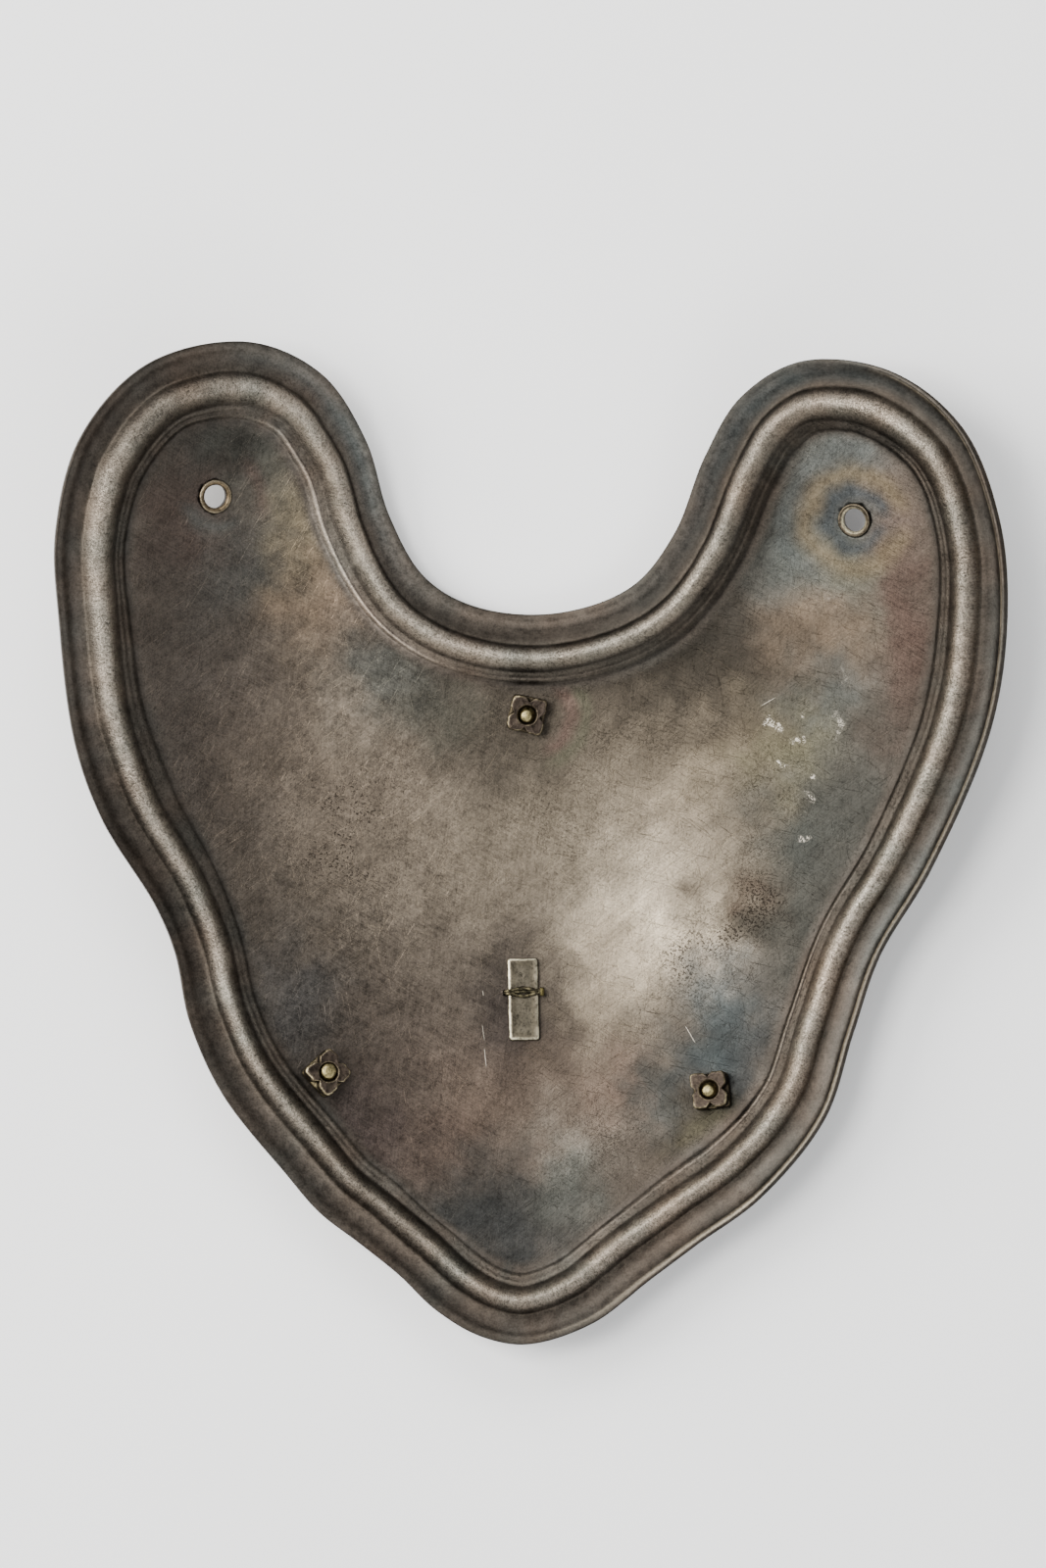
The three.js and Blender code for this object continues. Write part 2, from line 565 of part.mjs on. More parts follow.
const gorget = new THREE.Group();
gorget.add(plateMesh());
const nutGeometry = geometryOf(nutSolid());
nutGeometry.translate(0, 0, SEAT_GAP);
const studGeometry = turned(studProfile());
for (const { side, frame } of studFrames) {
  gorget.add(seated(`stud_${side}`, studGeometry, BRASS, frame));
  gorget.add(seated(`nut_${side}`, nutGeometry, NUT_STEEL, frame));
}
const eyeletGeometry = turned(eyeletProfile());
for (const { side, frame } of eyeletFrames)
  gorget.add(seated(`eyelet_${side}`, eyeletGeometry, STEEL, frame));
gorget.add(seated("clip_bar", barGeometry(), BAR_METAL, barFrame));
gorget.add(seated("clip_staple", stapleGeometry(), WIRE_METAL, barFrame));

// The origin is on the surface that the gorget lies on, under the middle of its outline
const box = new THREE.Box3().setFromObject(gorget, true);
const middle = box.getCenter(new THREE.Vector3());
gorget.position.set(-middle.x, -middle.y, -box.min.z);

export default gorget;
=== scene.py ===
import math

import bpy
import numpy as np
from mathutils import Matrix, Vector, noise
from mathutils.geometry import delaunay_2d_cdt


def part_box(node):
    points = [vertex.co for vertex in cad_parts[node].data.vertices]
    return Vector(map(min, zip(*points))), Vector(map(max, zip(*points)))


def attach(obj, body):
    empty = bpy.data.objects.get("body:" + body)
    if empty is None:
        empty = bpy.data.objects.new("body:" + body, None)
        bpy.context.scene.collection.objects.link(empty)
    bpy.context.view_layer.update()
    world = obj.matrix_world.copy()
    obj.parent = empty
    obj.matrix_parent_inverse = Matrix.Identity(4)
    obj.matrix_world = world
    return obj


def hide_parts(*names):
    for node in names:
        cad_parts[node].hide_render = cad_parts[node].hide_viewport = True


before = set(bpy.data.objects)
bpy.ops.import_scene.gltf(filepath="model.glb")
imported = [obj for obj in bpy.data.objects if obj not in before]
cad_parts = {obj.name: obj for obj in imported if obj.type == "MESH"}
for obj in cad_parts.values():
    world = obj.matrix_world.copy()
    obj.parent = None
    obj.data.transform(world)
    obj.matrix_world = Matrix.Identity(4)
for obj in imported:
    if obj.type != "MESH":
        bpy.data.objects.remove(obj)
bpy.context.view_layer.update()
MM = 0.001

# Sizes in millimetres, as in the solids
PLATE_WIDTH, PLATE_HEIGHT, SHEET = 170, 180, 1.1
WRAP_RADIUS, CROWN_RADIUS, DEEPEST = 165, 420, 6
ZONE_WIDTHS = (5.4, 4.9, 2.6)  # flange, ridge and step
HEIGHTS = {"rim": 1.1, "channel": 0.9, "ridge": 2.2}
EASE = 0.012  # share of the way round over which the edge's direction is taken
STUD_RADIUS, NUT_SIDE, NOTCH_WIDTH, NOTCH_DEPTH, BORE_GAP = 1.3, 6.5, 1.7, 1.0, 0.25
EYELET_BORE, EYELET_WALL = 2.05, 0.4
BAR_WIDTH, BAR_LENGTH, BAR_CORNER, BAR_TURN = 5.5, 14.8, 0.5, 1.2
STAPLE_ABOVE, STAPLE_REACH, STAPLE_TOP = 1.2, 3.4, 1.96

# The edge as shares of half the plate's width and height
OUTLINE = [
    (-0.01, -0.999), (-0.11, -0.982), (-0.203, -0.93), (-0.28, -0.861), (-0.363, -0.798),
    (-0.448, -0.736), (-0.518, -0.66), (-0.651, -0.502), (-0.722, -0.355), (-0.753, -0.217),
    (-0.793, -0.125), (-0.904, 0.047), (-0.961, 0.2), (-0.993, 0.438), (-1, 0.62), (-0.945, 0.813),
    (-0.802, 0.958), (-0.595, 1), (-0.443, 0.938), (-0.35, 0.807), (-0.3, 0.655), (-0.226, 0.534),
    (-0.118, 0.475), (0.052, 0.462), (0.212, 0.515), (0.303, 0.622), (0.366, 0.773), (0.443, 0.893),
    (0.57, 0.962), (0.757, 0.94), (0.905, 0.828), (0.983, 0.645), (1, 0.448), (0.967, 0.23),
    (0.843, -0.05), (0.735, -0.225), (0.68, -0.377), (0.62, -0.548), (0.485, -0.706), (0.35, -0.8),
    (0.247, -0.873), (0.13, -0.957),
]

# round, flange, ridge, step, rim
KNOCKS = [
    (0, 1, 0.95, 1.1, 1), (0.03, 1, 0.95, 1, 0.9), (0.047, 0.9, 1, 0.8, 0.6),
    (0.065, 1.03, 0.93, 1.05, 1.2), (0.1, 1, 0.98, 1, 0.9), (0.135, 1.03, 0.88, 1.05, 1.1),
    (0.163, 0.9, 0.96, 0.95, 0.6), (0.215, 1, 1.02, 1.35, 1.2), (0.25, 0.87, 1.04, 1.1, 1),
    (0.28, 0.87, 1.06, 0.88, 1), (0.34, 0.95, 1.14, 0.93, 1), (0.385, 1, 1.18, 1.13, 1.1),
    (0.415, 1, 1.12, 1.1, 1), (0.441, 0.87, 1.07, 1.2, 1), (0.475, 1, 0.98, 0.88, 1),
    (0.53, 1.03, 0.9, 1.07, 1), (0.595, 1.03, 1.08, 1.07, 1), (0.647, 0.87, 1.18, 0.75, 1),
    (0.692, 0.8, 1, 0.82, 0.8), (0.75, 1, 1, 1, 1.1), (0.84, 0.97, 0.97, 0.88, 1),
    (0.9, 1.03, 1, 1.05, 1.1), (0.926, 1.06, 0.96, 1.3, 0.7), (0.96, 1.06, 1.04, 0.88, 1.1),
    (1, 1, 0.95, 1.1, 1),
]

# Rows of a section: how far in, in zone units (flange 0 to 1, ridge 1 to 2, step 2 to 3), which of
# the heights it stands by, and its share of that. The first is the solids' section.
SECTION = [
    (0.2, "rim", 1), (0.235, "rim", 0.15), (0.36, "channel", -0.7), (0.56, "channel", -1),
    (0.8, "channel", -0.72), (1, "channel", -0.2), (1.13, "ridge", 0.42), (1.32, "ridge", 0.85),
    (1.53, "ridge", 1), (1.75, "ridge", 0.8), (1.95, "ridge", 0.32), (2.28, "ridge", 0.36),
    (2.52, "ridge", 0.19), (2.76, "ridge", 0.24), (3, "ridge", 0),
]
LIP = [
    (0.02, "rim", 0.5), (0.05, "rim", 0.8), (0.1, "rim", 1), (0.16, "rim", 1), (0.22, "rim", 0.75),
    (0.28, "rim", 0.2),
]
# A finer one through the same places, for the back
FINE_SECTION = LIP + [
    (0.35, "channel", -0.16), (0.44, "channel", -0.4), (0.54, "channel", -0.55),
    (0.66, "channel", -0.6), (0.78, "channel", -0.54), (0.88, "channel", -0.4),
    (0.95, "channel", -0.26), (1, "channel", -0.14), (1.04, "ridge", 0.06), (1.08, "ridge", 0.24),
    (1.14, "ridge", 0.45), (1.22, "ridge", 0.68), (1.32, "ridge", 0.86), (1.42, "ridge", 0.97),
    (1.53, "ridge", 1), (1.64, "ridge", 0.94), (1.75, "ridge", 0.8), (1.85, "ridge", 0.63),
    (1.95, "ridge", 0.44), (2.05, "ridge", 0.35), (2.14, "ridge", 0.32), (2.22, "ridge", 0.34),
    (2.3, "ridge", 0.34), (2.4, "ridge", 0.29), (2.48, "ridge", 0.225), (2.56, "ridge", 0.2),
    (2.65, "ridge", 0.23), (2.74, "ridge", 0.23), (2.84, "ridge", 0.14), (2.93, "ridge", 0.065),
    (3, "ridge", 0.025), (3.1, "ridge", 0.006), (3.22, "ridge", 0),
]
# The front is made from the solids' section, with the lip
FRONT_SECTION = LIP[::2] + SECTION[2:]
# How far the rim stands up round the edge, as a share of the solids' rim
RIM_SHOWS = [(0, 0.12), (0.63, 0.12), (0.68, 1), (0.92, 0.9), (0.97, 0.12), (1, 0.12)]
# round, how far the crease behind the ridge is eased
EASED = [
    (0, 0.55), (0.43, 0.45), (0.48, 1), (0.58, 1), (0.66, 0.7), (0.72, 0.4), (0.85, 0.4), (1, 0.55),
]
# round, how high a second ridge stands in the step
SECOND_RIDGE = [
    (0, 0), (0.385, 0), (0.415, 1), (0.472, 1), (0.488, 0), (0.8, 0), (0.85, 0.6), (0.93, 0.5),
    (0.98, 0.1), (1, 0),
]
STATIONS, SOLID_STATIONS = 700, 112
BACK_STEP, FRONT_STEP, GRID_SHAKE = 0.78, 1.8, 0.12
HOLE_POINTS = 36

# round, how far in from the moulding in nut sides, and turn in degrees
STUDS = {"top": (0.5039, 0.83, -12), "left": (0.1043, 0.64, 42), "right": (0.9029, 0.96, 7)}
EYELETS = {"left": (-0.6675, 0.693), "right": (0.6817, 0.6458)}
BAR_SPOT = (-0.017, -0.3115)


# Small sums


def unit(vectors):
    return vectors / np.linalg.norm(vectors, axis=-1, keepdims=True)


def columns(*parts):
    return np.stack(parts, -1)


def ease(t):
    return t * t * (3 - 2 * t)


def hump(x, middle, width):
    """1 where x is at the middle, and near 0 two widths off."""
    return np.exp(-(((x - middle) / width) ** 2))


def along(table, rounds):
    """A table's columns after the first, at places along the first."""
    rows = np.array(table).T
    return [np.interp(rounds, rows[0], column) for column in rows[1:]]


def nearest(points, line):
    """Distance from each point to the nearest of a line's points, and that one's number."""
    best, index = np.full(len(points), np.inf), np.zeros(len(points), int)
    for start in range(0, len(line), 100):
        squares = ((points[:, None] - line[None, start : start + 100]) ** 2).sum(-1)
        found = squares.argmin(1)
        square = squares[np.arange(len(points)), found]
        index = np.where(square < best, found + start, index)
        best = np.minimum(best, square)
    return np.sqrt(best), index


def circle(radius, height, count=48, shift=(0, 0)):
    turns = np.linspace(0, 2 * math.pi, count, endpoint=False)
    return columns(
        radius * np.cos(turns) + shift[0], radius * np.sin(turns) + shift[1], height + 0 * turns)


def noises(points, scale, seed, octaves=3):
    """Seeded noise at each point, with features about scale millimetres long."""
    offset = Vector((seed * 13.7, seed * 7.1, seed * 3.3))
    return np.array([noise.fractal(Vector(p) / scale + offset, 0.95, 2.0, octaves) for p in points])


# The bent plate's surface, in millimetres


def place(x, y, lift):
    """Points lifted off the plain back of the plate along its normal, as arrays, and the normals."""
    x, y = np.asarray(x, float), np.asarray(y, float)
    wrap = np.sqrt(WRAP_RADIUS**2 - x**2)
    crown = np.sqrt(CROWN_RADIUS**2 - (y - DEEPEST) ** 2)
    normal = unit(columns(-x / wrap, -(y - DEEPEST) / crown, np.ones_like(x)))
    foot = columns(x, y, WRAP_RADIUS - wrap + CROWN_RADIUS - crown)
    return foot + normal * np.asarray(lift, float)[..., None], normal


def closed_spline(points, steps):
    """A closed centripetal Catmull-Rom curve through the points, evenly measured."""
    runs = []
    for i in range(len(points)):
        p0, p1, p2, p3 = (points[(i + k) % len(points)] for k in (-1, 0, 1, 2))
        d0, d1, d2 = (np.dot(b - a, b - a) ** 0.25 for a, b in ((p0, p1), (p1, p2), (p2, p3)))
        t1 = ((p1 - p0) / d0 - (p2 - p0) / (d0 + d1) + (p2 - p1) / d1) * d1
        t2 = ((p2 - p1) / d1 - (p3 - p1) / (d1 + d2) + (p3 - p2) / d2) * d1
        a, b = 2 * p1 - 2 * p2 + t1 + t2, -3 * p1 + 3 * p2 - 2 * t1 - t2
        t = np.linspace(0, 1, steps, endpoint=False)[:, None]
        runs.append(p1 + t1 * t + b * t**2 + a * t**3)
    line = np.concatenate(runs + [points[:1]])
    length = np.concatenate([[0], np.cumsum(np.linalg.norm(np.diff(line, axis=0), axis=1))])
    return line, length / length[-1], length[-1]


LINE, MEASURE, PERIMETER = closed_spline(
    np.array(OUTLINE) * [PLATE_WIDTH / 2, PLATE_HEIGHT / 2], 60)


def on_outline(rounds):
    return columns(*(np.interp(np.mod(rounds, 1), MEASURE, column) for column in LINE.T))


def on_ring(rounds):
    """Points of a circle as long round as the edge, for noise that closes on itself."""
    turns = rounds * 2 * math.pi
    return columns(np.cos(turns), np.sin(turns)) * PERIMETER / (2 * math.pi)


def periodic(rounds, scale, seed, octaves=3):
    """Even noise along the closed edge."""
    return noises(np.pad(on_ring(rounds), ((0, 0), (0, 1))), scale, seed, octaves)


def knocks_at(rounds):
    rows = np.array(KNOCKS)
    i = np.clip(np.searchsorted(rows[:, 0], rounds, "right") - 1, 0, len(rows) - 2)
    t = ease((rounds - rows[i, 0]) / (rows[i + 1, 0] - rows[i, 0]))[:, None]
    return rows[i, 1:] * (1 - t) + rows[i + 1, 1:] * t


def section_at(section, knocks):
    """Distance in from the rim and lift of each row of a section, for each station."""
    heights = {**HEIGHTS, "rim": HEIGHTS["rim"] * knocks[:, 3]}
    shares = np.array([(min(at, 1), min(max(at - 1, 0), 1), max(at - 2, 0)) for at, _, _ in section])
    distance = (np.array(ZONE_WIDTHS) * knocks[:, :3]) @ shares.T
    lift = columns(*(share * heights[of] * np.ones(len(knocks)) for _, of, share in section))
    return distance, lift


def set_off(distance, lift):
    """The front line: the back line set off by the sheet, square to its neighbours' line."""
    number, last = np.arange(distance.shape[1]), distance.shape[1] - 1
    before, after = np.maximum(number - 1, 0), np.minimum(number + 1, last)
    run = unit(columns(*(line[:, after] - line[:, before] for line in (distance, lift))))
    front_distance, front_lift = distance + run[..., 1] * SHEET, lift - run[..., 0] * SHEET
    front_distance[:, -1], front_lift[:, -1] = distance[:, -1], -SHEET
    return front_distance, front_lift


def smoother(values):
    """Twice as many columns, with the new ones on a smooth curve through the old."""
    padded = np.concatenate([values[:, :1], values, values[:, -1:]], 1)
    out = np.empty((len(values), 2 * values.shape[1] - 1))
    out[:, ::2] = values
    out[:, 1::2] = (-padded[:, :-3] + 9 * padded[:, 1:-2] + 9 * padded[:, 2:-1] - padded[:, 3:]) / 16
    return out


def rings_of(foot, inward, distance, lift):
    """A ring of points for each column of a section."""
    return [place(*(foot + inward * distance[:, k : k + 1]).T, lift[:, k])[0]
            for k in range(distance.shape[1])]


def on_edge(edge, foot, inward, *sections):
    """The feet, moved so that the sections' outermost points lie on the edge."""
    reach = np.min([((ring[:, :2] - edge) * inward).sum(1)
                    for section in sections for ring in rings_of(foot, inward, *section)], 0)
    return foot - inward * reach[:, None]


def stations(rounds):
    """Foot, way in and knocks of each station, and the solids' back and front sections there."""
    edge = on_outline(rounds)
    run = unit(on_outline(rounds + EASE) - on_outline(rounds - EASE))
    inward = columns(run[:, 1], -run[:, 0])
    knocks = knocks_at(np.mod(rounds, 1))
    back = section_at(SECTION, knocks)
    front = set_off(*back)
    return on_edge(edge, edge, inward, back, front), inward, knocks, back, front


def seat(x, y, degrees=0.0):
    """Frame of a piece seated on the plate, in millimetres."""
    point, normal = place([x], [y], [0])
    up = Vector(normal[0])
    across = Vector((0, 1, 0)).cross(up).normalized()
    turn = Matrix.Rotation(math.radians(degrees), 4, "Z")
    axes = Matrix((across, up.cross(across), up)).transposed().to_4x4()
    return Matrix.Translation(point[0]) @ axes @ turn


def stud_seat(way, clear, degrees):
    foot, inward, _, (distance, _), _ = stations(np.array([way]))
    return seat(*(foot[0] + inward[0] * (distance[0, -1] + clear * NUT_SIDE)), degrees)


STUD_FRAMES = {side: stud_seat(*row) for side, row in STUDS.items()}
EYELET_FRAMES = {
    side: seat(x * PLATE_WIDTH / 2, y * PLATE_HEIGHT / 2) for side, (x, y) in EYELETS.items()}
BAR_FRAME = seat(BAR_SPOT[0] * PLATE_WIDTH / 2, BAR_SPOT[1] * PLATE_HEIGHT / 2, BAR_TURN)


# The plate


def inside(polygon, points):
    x, y = points.T
    odd = np.zeros(len(points), bool)
    for (ax, ay), (bx, by) in zip(polygon, np.roll(polygon, -1, 0)):
        if ay != by:
            odd ^= ((ay > y) != (by > y)) & (x < (bx - ax) * (y - ay) / (by - ay) + ax)
    return odd


def field_triangles(rim, holes, step):
    """Triangles that fill a rim polygon with holes. Points: the rim, the holes, then a grid."""
    def within(points):
        return inside(rim, points) & ~np.any([inside(hole, points) for hole in holes], 0)

    lo, hi = rim.min(0), rim.max(0)
    across = np.arange(lo[0], hi[0], step)
    grid = np.concatenate([
        columns(across + (step / 2 if j % 2 else 0), np.full(len(across), row))
        for j, row in enumerate(np.arange(lo[1], hi[1], step * math.sin(math.pi / 3)))])
    grid += np.random.default_rng(5).uniform(-GRID_SHAKE, GRID_SHAKE, grid.shape) * step
    grid = grid[within(grid)]
    edges = np.concatenate([rim] + holes)
    points = np.concatenate([edges, grid[nearest(grid, edges)[0] > step * 0.55]])
    loops, start = [], 0
    for loop in [rim] + holes:
        ids = list(range(start, start + len(loop)))
        loops += list(zip(ids, ids[1:] + ids[:1]))
        start += len(loop)
    verts, _, faces, origins, _, _ = delaunay_2d_cdt(
        [Vector(p) for p in points], loops, [], 0, 1e-7, True)
    if len(verts) != len(points):
        raise ValueError("the field's points and its mesh don't match")
    faces = np.array([o[0] for o in origins])[np.array(faces)]
    return points, faces[within(points[faces].mean(1))]


def hole_loops():
    """The plate's holes in plan: a round one for each stud and eyelet."""
    sizes = [(m, STUD_RADIUS) for m in STUD_FRAMES.values()] + [
        (m, EYELET_BORE + EYELET_WALL) for m in EYELET_FRAMES.values()]
    return [np.array([(mat @ Vector(p)).xy for p in circle(radius + BORE_GAP, 0, HOLE_POINTS)])
            for mat, radius in sizes]


def band(first, second):
    """Two triangles for each step round a pair of loops, given by the numbers of their points."""
    after, second_after = np.roll(first, -1), np.roll(second, -1)
    return [columns(first, second, second_after), columns(first, second_after, after)]


def build_plate():
    """Points, faces, each point's round, depth in and side, and how crisp the beads are."""
    rounds = np.arange(STATIONS) / STATIONS
    foot, inward, knocks, _, _ = stations(rounds)
    knocks[:, 3] *= along(RIM_SHOWS, rounds)[0]
    front = [smoother(part) for part in set_off(*section_at(FRONT_SECTION, knocks))]
    distance, lift = section_at(FINE_SECTION, knocks)
    at = np.array([row[0] for row in FINE_SECTION])
    # the step's beads fade into a plain slope here and there
    crisp = np.clip(0.45 + 0.6 * periodic(rounds, 34, 5, 2), 0.05, 1.0)
    plain = 0.27 * HEIGHTS["ridge"] * np.sqrt(np.clip(1 - (at - 2) ** 2, 0, 1))
    lift = np.where((at > 2) & (at < 3), plain + (lift - plain) * crisp[:, None], lift)
    eased, second = (along(table, rounds)[0][:, None] for table in (EASED, SECOND_RIDGE))
    lift = lift + HEIGHTS["ridge"] * (
        0.17 * eased * hump(at, 1.98, 0.17) + 0.2 * second * hump(at, 2.68, 0.15))
    uneven = 1 + 0.07 * periodic(rounds, 7, 3) + 0.08 * periodic(rounds, 30, 4)
    lift = np.where(at > 1, lift * uneven[:, None], lift)
    # the moulding's middle wanders in and out
    wander = 0.175 * periodic(rounds, 9, 1) + 0.25 * periodic(rounds, 26, 2)
    bell = np.clip(1 - np.abs(distance / distance[:, -1:] - 0.55) / 0.45, 0, 1)
    distance = distance + wander[:, None] * bell
    foot = on_edge(on_outline(rounds), foot, inward, front, (distance, lift))
    rings = rings_of(foot, inward, *front)[::-1] + rings_of(foot, inward, distance, lift)
    ids = np.arange(len(rings) * STATIONS).reshape(len(rings), STATIONS)
    faces = [part for pair in zip(ids, ids[1:]) for part in band(*pair)]
    fronts, count, holes = front[0].shape[1], ids.size, hole_loops()
    points, ways = list(rings), [np.tile(rounds, len(rings))]
    depths = [*front[0].T[::-1], *distance.T]
    sides = [1.0 * (np.arange(ids.size) >= fronts * STATIONS)]
    hole_ids = []
    for inner, ring, step, level in ((front[0][:, -1:], ids[0], FRONT_STEP, -SHEET),
                                     (distance[:, -1:], ids[-1], BACK_STEP, 0.0)):
        rim = foot + inward * inner
        plan, triangles = field_triangles(rim, holes, step)
        field = plan[STATIONS:]
        field_ids = count + np.arange(len(field))
        count += len(field)
        triangles = np.concatenate([ring, field_ids])[triangles]
        faces.append(triangles[:, ::-1] if level else triangles)
        hole_ids.append(field_ids[: len(holes) * HOLE_POINTS].reshape(len(holes), HOLE_POINTS))
        # gentle waves, none beside the moulding or under the small pieces
        reach, station = nearest(field, rim)
        calm = ease(np.clip(reach / 4, 0, 1))
        for mat in (*STUD_FRAMES.values(), *EYELET_FRAMES.values(), BAR_FRAME):
            far = np.hypot(*(field - np.array(mat.translation.xy)).T)
            calm = calm * np.clip((far - (9 if mat is BAR_FRAME else 5)) / 5, 0, 1)
        flat = np.pad(field, ((0, 0), (0, 1)))
        waves = 0.16 * noises(flat, 24, 6, 2) + 0.05 * noises(flat, 7, 7, 2)
        points.append(place(*field.T, level + waves * calm)[0])
        ways.append(rounds[station])
        depths.append(distance[station, -1] + reach)
        sides.append(np.full(len(field), float(level == 0)))
    for pair in zip(*hole_ids):
        faces += band(*pair)
    return *(np.concatenate(part) for part in (points, faces, ways, depths, sides)), crisp


def mesh_object(name, points, faces):
    mesh = bpy.data.meshes.new(name)
    mesh.from_pydata([tuple(p) for p in points], [], [tuple(int(v) for v in f) for f in faces])
    mesh.validate()
    mesh.shade_smooth()
    obj = bpy.data.objects.new(name, mesh)
    bpy.context.collection.objects.link(obj)
    return obj


def row_shift():
    """From the plate's own millimetres to the row's: the solids' section, sampled as they were."""
    foot, inward, _, back, front = stations(np.arange(SOLID_STATIONS) / SOLID_STATIONS)
    points = np.concatenate(rings_of(foot, inward, *back) + rings_of(foot, inward, *front))
    lo, hi = (np.array(c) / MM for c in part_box("gorget_plate"))
    middle = (lo + hi) / 2 - (points.min(0) + points.max(0)) / 2
    return np.array([*middle[:2], hi[2] - points[:, 2].max()])


SHIFT = row_shift()
TO_ROW = Matrix.Scale(MM, 4) @ Matrix.Translation(SHIFT)


# Colour


def linear(code):
    """A colour written as six hexadecimal digits, made linear."""
    values = [int(code[k : k + 2], 16) / 255 for k in (0, 2, 4)]
    return np.array([v / 12.92 if v <= 0.04045 else ((v + 0.055) / 1.055) ** 2.4 for v in values])


# The lamps are strong, for a pale floor, so the plate's colours are darkened by this
PLATE_TONE = 0.55

# Stains of the field, with some painted light and shade among them, marked below: x, y,
# reach across, reach up, colour, strength, turn in degrees
STAINS_AND_PAINTED_LIGHT = [
    (-60, 15, 9, 42, "4a4440", 0.6, 0), (-55, 74, 13, 9, "3b3b37", 0.85, 20),
    (-45, 16, 14, 12, "5c5048", 0.5, 0), (-42, 55, 6, 14, "a3906a", 0.7, 15),
    (-37, 43, 7, 9, "9b7e66", 0.6, 20), (-48, 68, 6, 8, "5c6663", 0.45, 0),
    (-52, 50, 7, 9, "56605f", 0.4, 0), (-62, 58, 6, 8, "6a5048", 0.35, 0),
    # the pale middle band (next four lines): partly wear and partly painted reflection
    (-8, 2, 30, 20, "8a7c69", 0.75, 15), (-32, 10, 15, 15, "93826f", 0.75, 0),
    (-30, 26, 12, 9, "8d7d6a", 0.55, -30), (12, 8, 22, 15, "938570", 0.7, 0),
    (28, 4, 15, 15, "a6957e", 0.75, 0), (21, -15, 15, 12, "cdbb9f", 0.95, 15),
    (12, -26, 10, 10, "b09d82", 0.6, 0), (36, 17, 13, 9, "96856a", 0.6, 20),
    (-5, 16, 13, 7, "5e564c", 0.6, 0), (30, 31, 15, 8, "544e44", 0.7, 20),
    (-2, -45, 17, 12, "806a58", 0.5, 0), (-26, -36, 13, 12, "5c5048", 0.45, 0),
    (-44, -28, 6, 11, "484f54", 0.5, 20), (-31, -53, 9, 7, "57484a", 0.5, -35),
    (-40, -47, 7, 4, "2e2a28", 0.6, -40), (-15, -54, 10, 9, "6a5145", 0.4, 0),
    (-9, -68, 11, 9, "474a49", 0.75, -20), (7, -61, 7, 9, "606862", 0.65, -15),
    (-26, 32, 9, 7, "5f6662", 0.65, -30), (-15, 26, 8, 5, "6a6e60", 0.4, 0),
    # dark under the neck's moulding and beside it on the right horn (first three rows here): painted
    # shadow
    (15, 32, 14, 3.5, "35332e", 0.7, 15), (32, 42, 4, 13, "3a3731", 0.75, -35),
    (42, 61, 4, 14, "38342e", 0.7, -12), (55, 73, 10, 7, "686f6b", 0.85, 0),
    (56, 2, 11, 30, "55554f", 0.75, 12), (47, -16, 8, 16, "50534e", 0.8, 20),
    (47, 50, 8, 9, "646c69", 0.7, -30), (58, 49, 7, 6, "7c7f6e", 0.55, 0),
    (66, 44, 5, 22, "74584e", 0.65, 5), (50, 36, 8, 6, "8a7055", 0.6, 10),
    (51, 26, 5, 8, "525a59", 0.65, -25), (45, 16, 7, 6, "857f5a", 0.55, 0),
    (58, 8, 8, 12, "5c5e58", 0.5, 0), (47, 1, 6, 8, "545b57", 0.65, 20),
    (36, -8, 4, 4, "826a58", 0.5, 0), (34, -33, 8, 7, "566467", 0.8, 0),
    (23, -46, 4.5, 5, "545f5e", 0.6, 0), (40, -42, 6, 8, "50595d", 0.65, 0),
    (15, -43, 5, 4, "8f7363", 0.45, 0), (33, -51, 7, 5, "6b6749", 0.5, 40),
    (-2, -28, 6, 12, "5a5257", 0.45, 0), (56, 58, 6, 6, "555e5e", 0.6, 0),
    (-2, -71, 12, 7, "484c4e", 0.5, 0),
]

# Rings of tempered colour: x, y, radius, width, from and to in degrees, colour, strength
RINGS = [
    (58, 58, 5.2, 1.3, 0, 360, "464f55", 0.7), (58, 58, 8.6, 1.8, 0, 360, "8a7858", 0.65),
    (58, 58, 12.5, 2, 60, 250, "636b6a", 0.5), (-0.5, 23.5, 7.3, 1.2, -75, 70, "8f6c62", 0.55),
    (-0.5, 23.5, 9.8, 1.3, -80, 60, "7f8366", 0.4), (-57, 62, 5, 1.2, 180, 330, "6a736f", 0.4),
    (-57, 62, 8.5, 1.6, -30, 60, "7a5a50", 0.4), (32, -44, 6.5, 1.8, 20, 200, "566264", 0.4),
]

# Drifts of dark pits: x, y, reach across, reach up, strength, turn in degrees if any
PITS = [
    (-36, 0, 7, 14, 1, 35), (-28, 12, 10, 8, 0.6), (34, -18, 9, 5, 1, 40), (38, -8, 4, 8, 0.8),
    (28, -26, 8, 5, 0.8, 20), (10, -54, 10, 6, 0.6, 30), (-8, -44, 10, 5, 0.4), (4, 6, 14, 6, 0.5),
    (-62, 5, 5, 20, 0.5), (18, 20, 9, 4, 0.5, 20), (42, 12, 9, 9, 0.4), (15, -5, 12, 6, 0.3),
]

# Pale scuffs, the same
SCUFFS = [
    (41, 21.3, 1.3, 1.1, 1), (45.6, 19.6, 2.2, 1.2, 1, 25), (43.5, 12.3, 1.2, 0.8, 0.9),
    (50.5, 11.8, 1.6, 0.8, 0.9, -40), (48, 7, 1.6, 2, 0.6, 20), (48.5, 1.2, 1.1, 0.8, 0.8),
    (52.5, 21, 1.5, 3, 0.6, 20), (52, 29, 1.2, 2, 0.5), (0.8, 30.6, 1.9, 0.6, 0.7, -8),
    (54, 41, 2.5, 4, 0.35, 30), (20, -58, 2, 4, 0.35, 20), (-1, -58, 3, 2, 0.3, 40),
]

# Single bright scratches: from x, y to x, y, and their width
STROKES = [
    (-8.9, -32.4, -8.4, -35.6, 0.05), (-8.5, -36.6, -8.1, -40.4, 0.065),
    (-8.8, -26.4, -8.6, -27.4, 0.06), (27.6, -32.6, 29.6, -36, 0.045),
    (44, 26.4, 41.2, 24.8, 0.045),
]
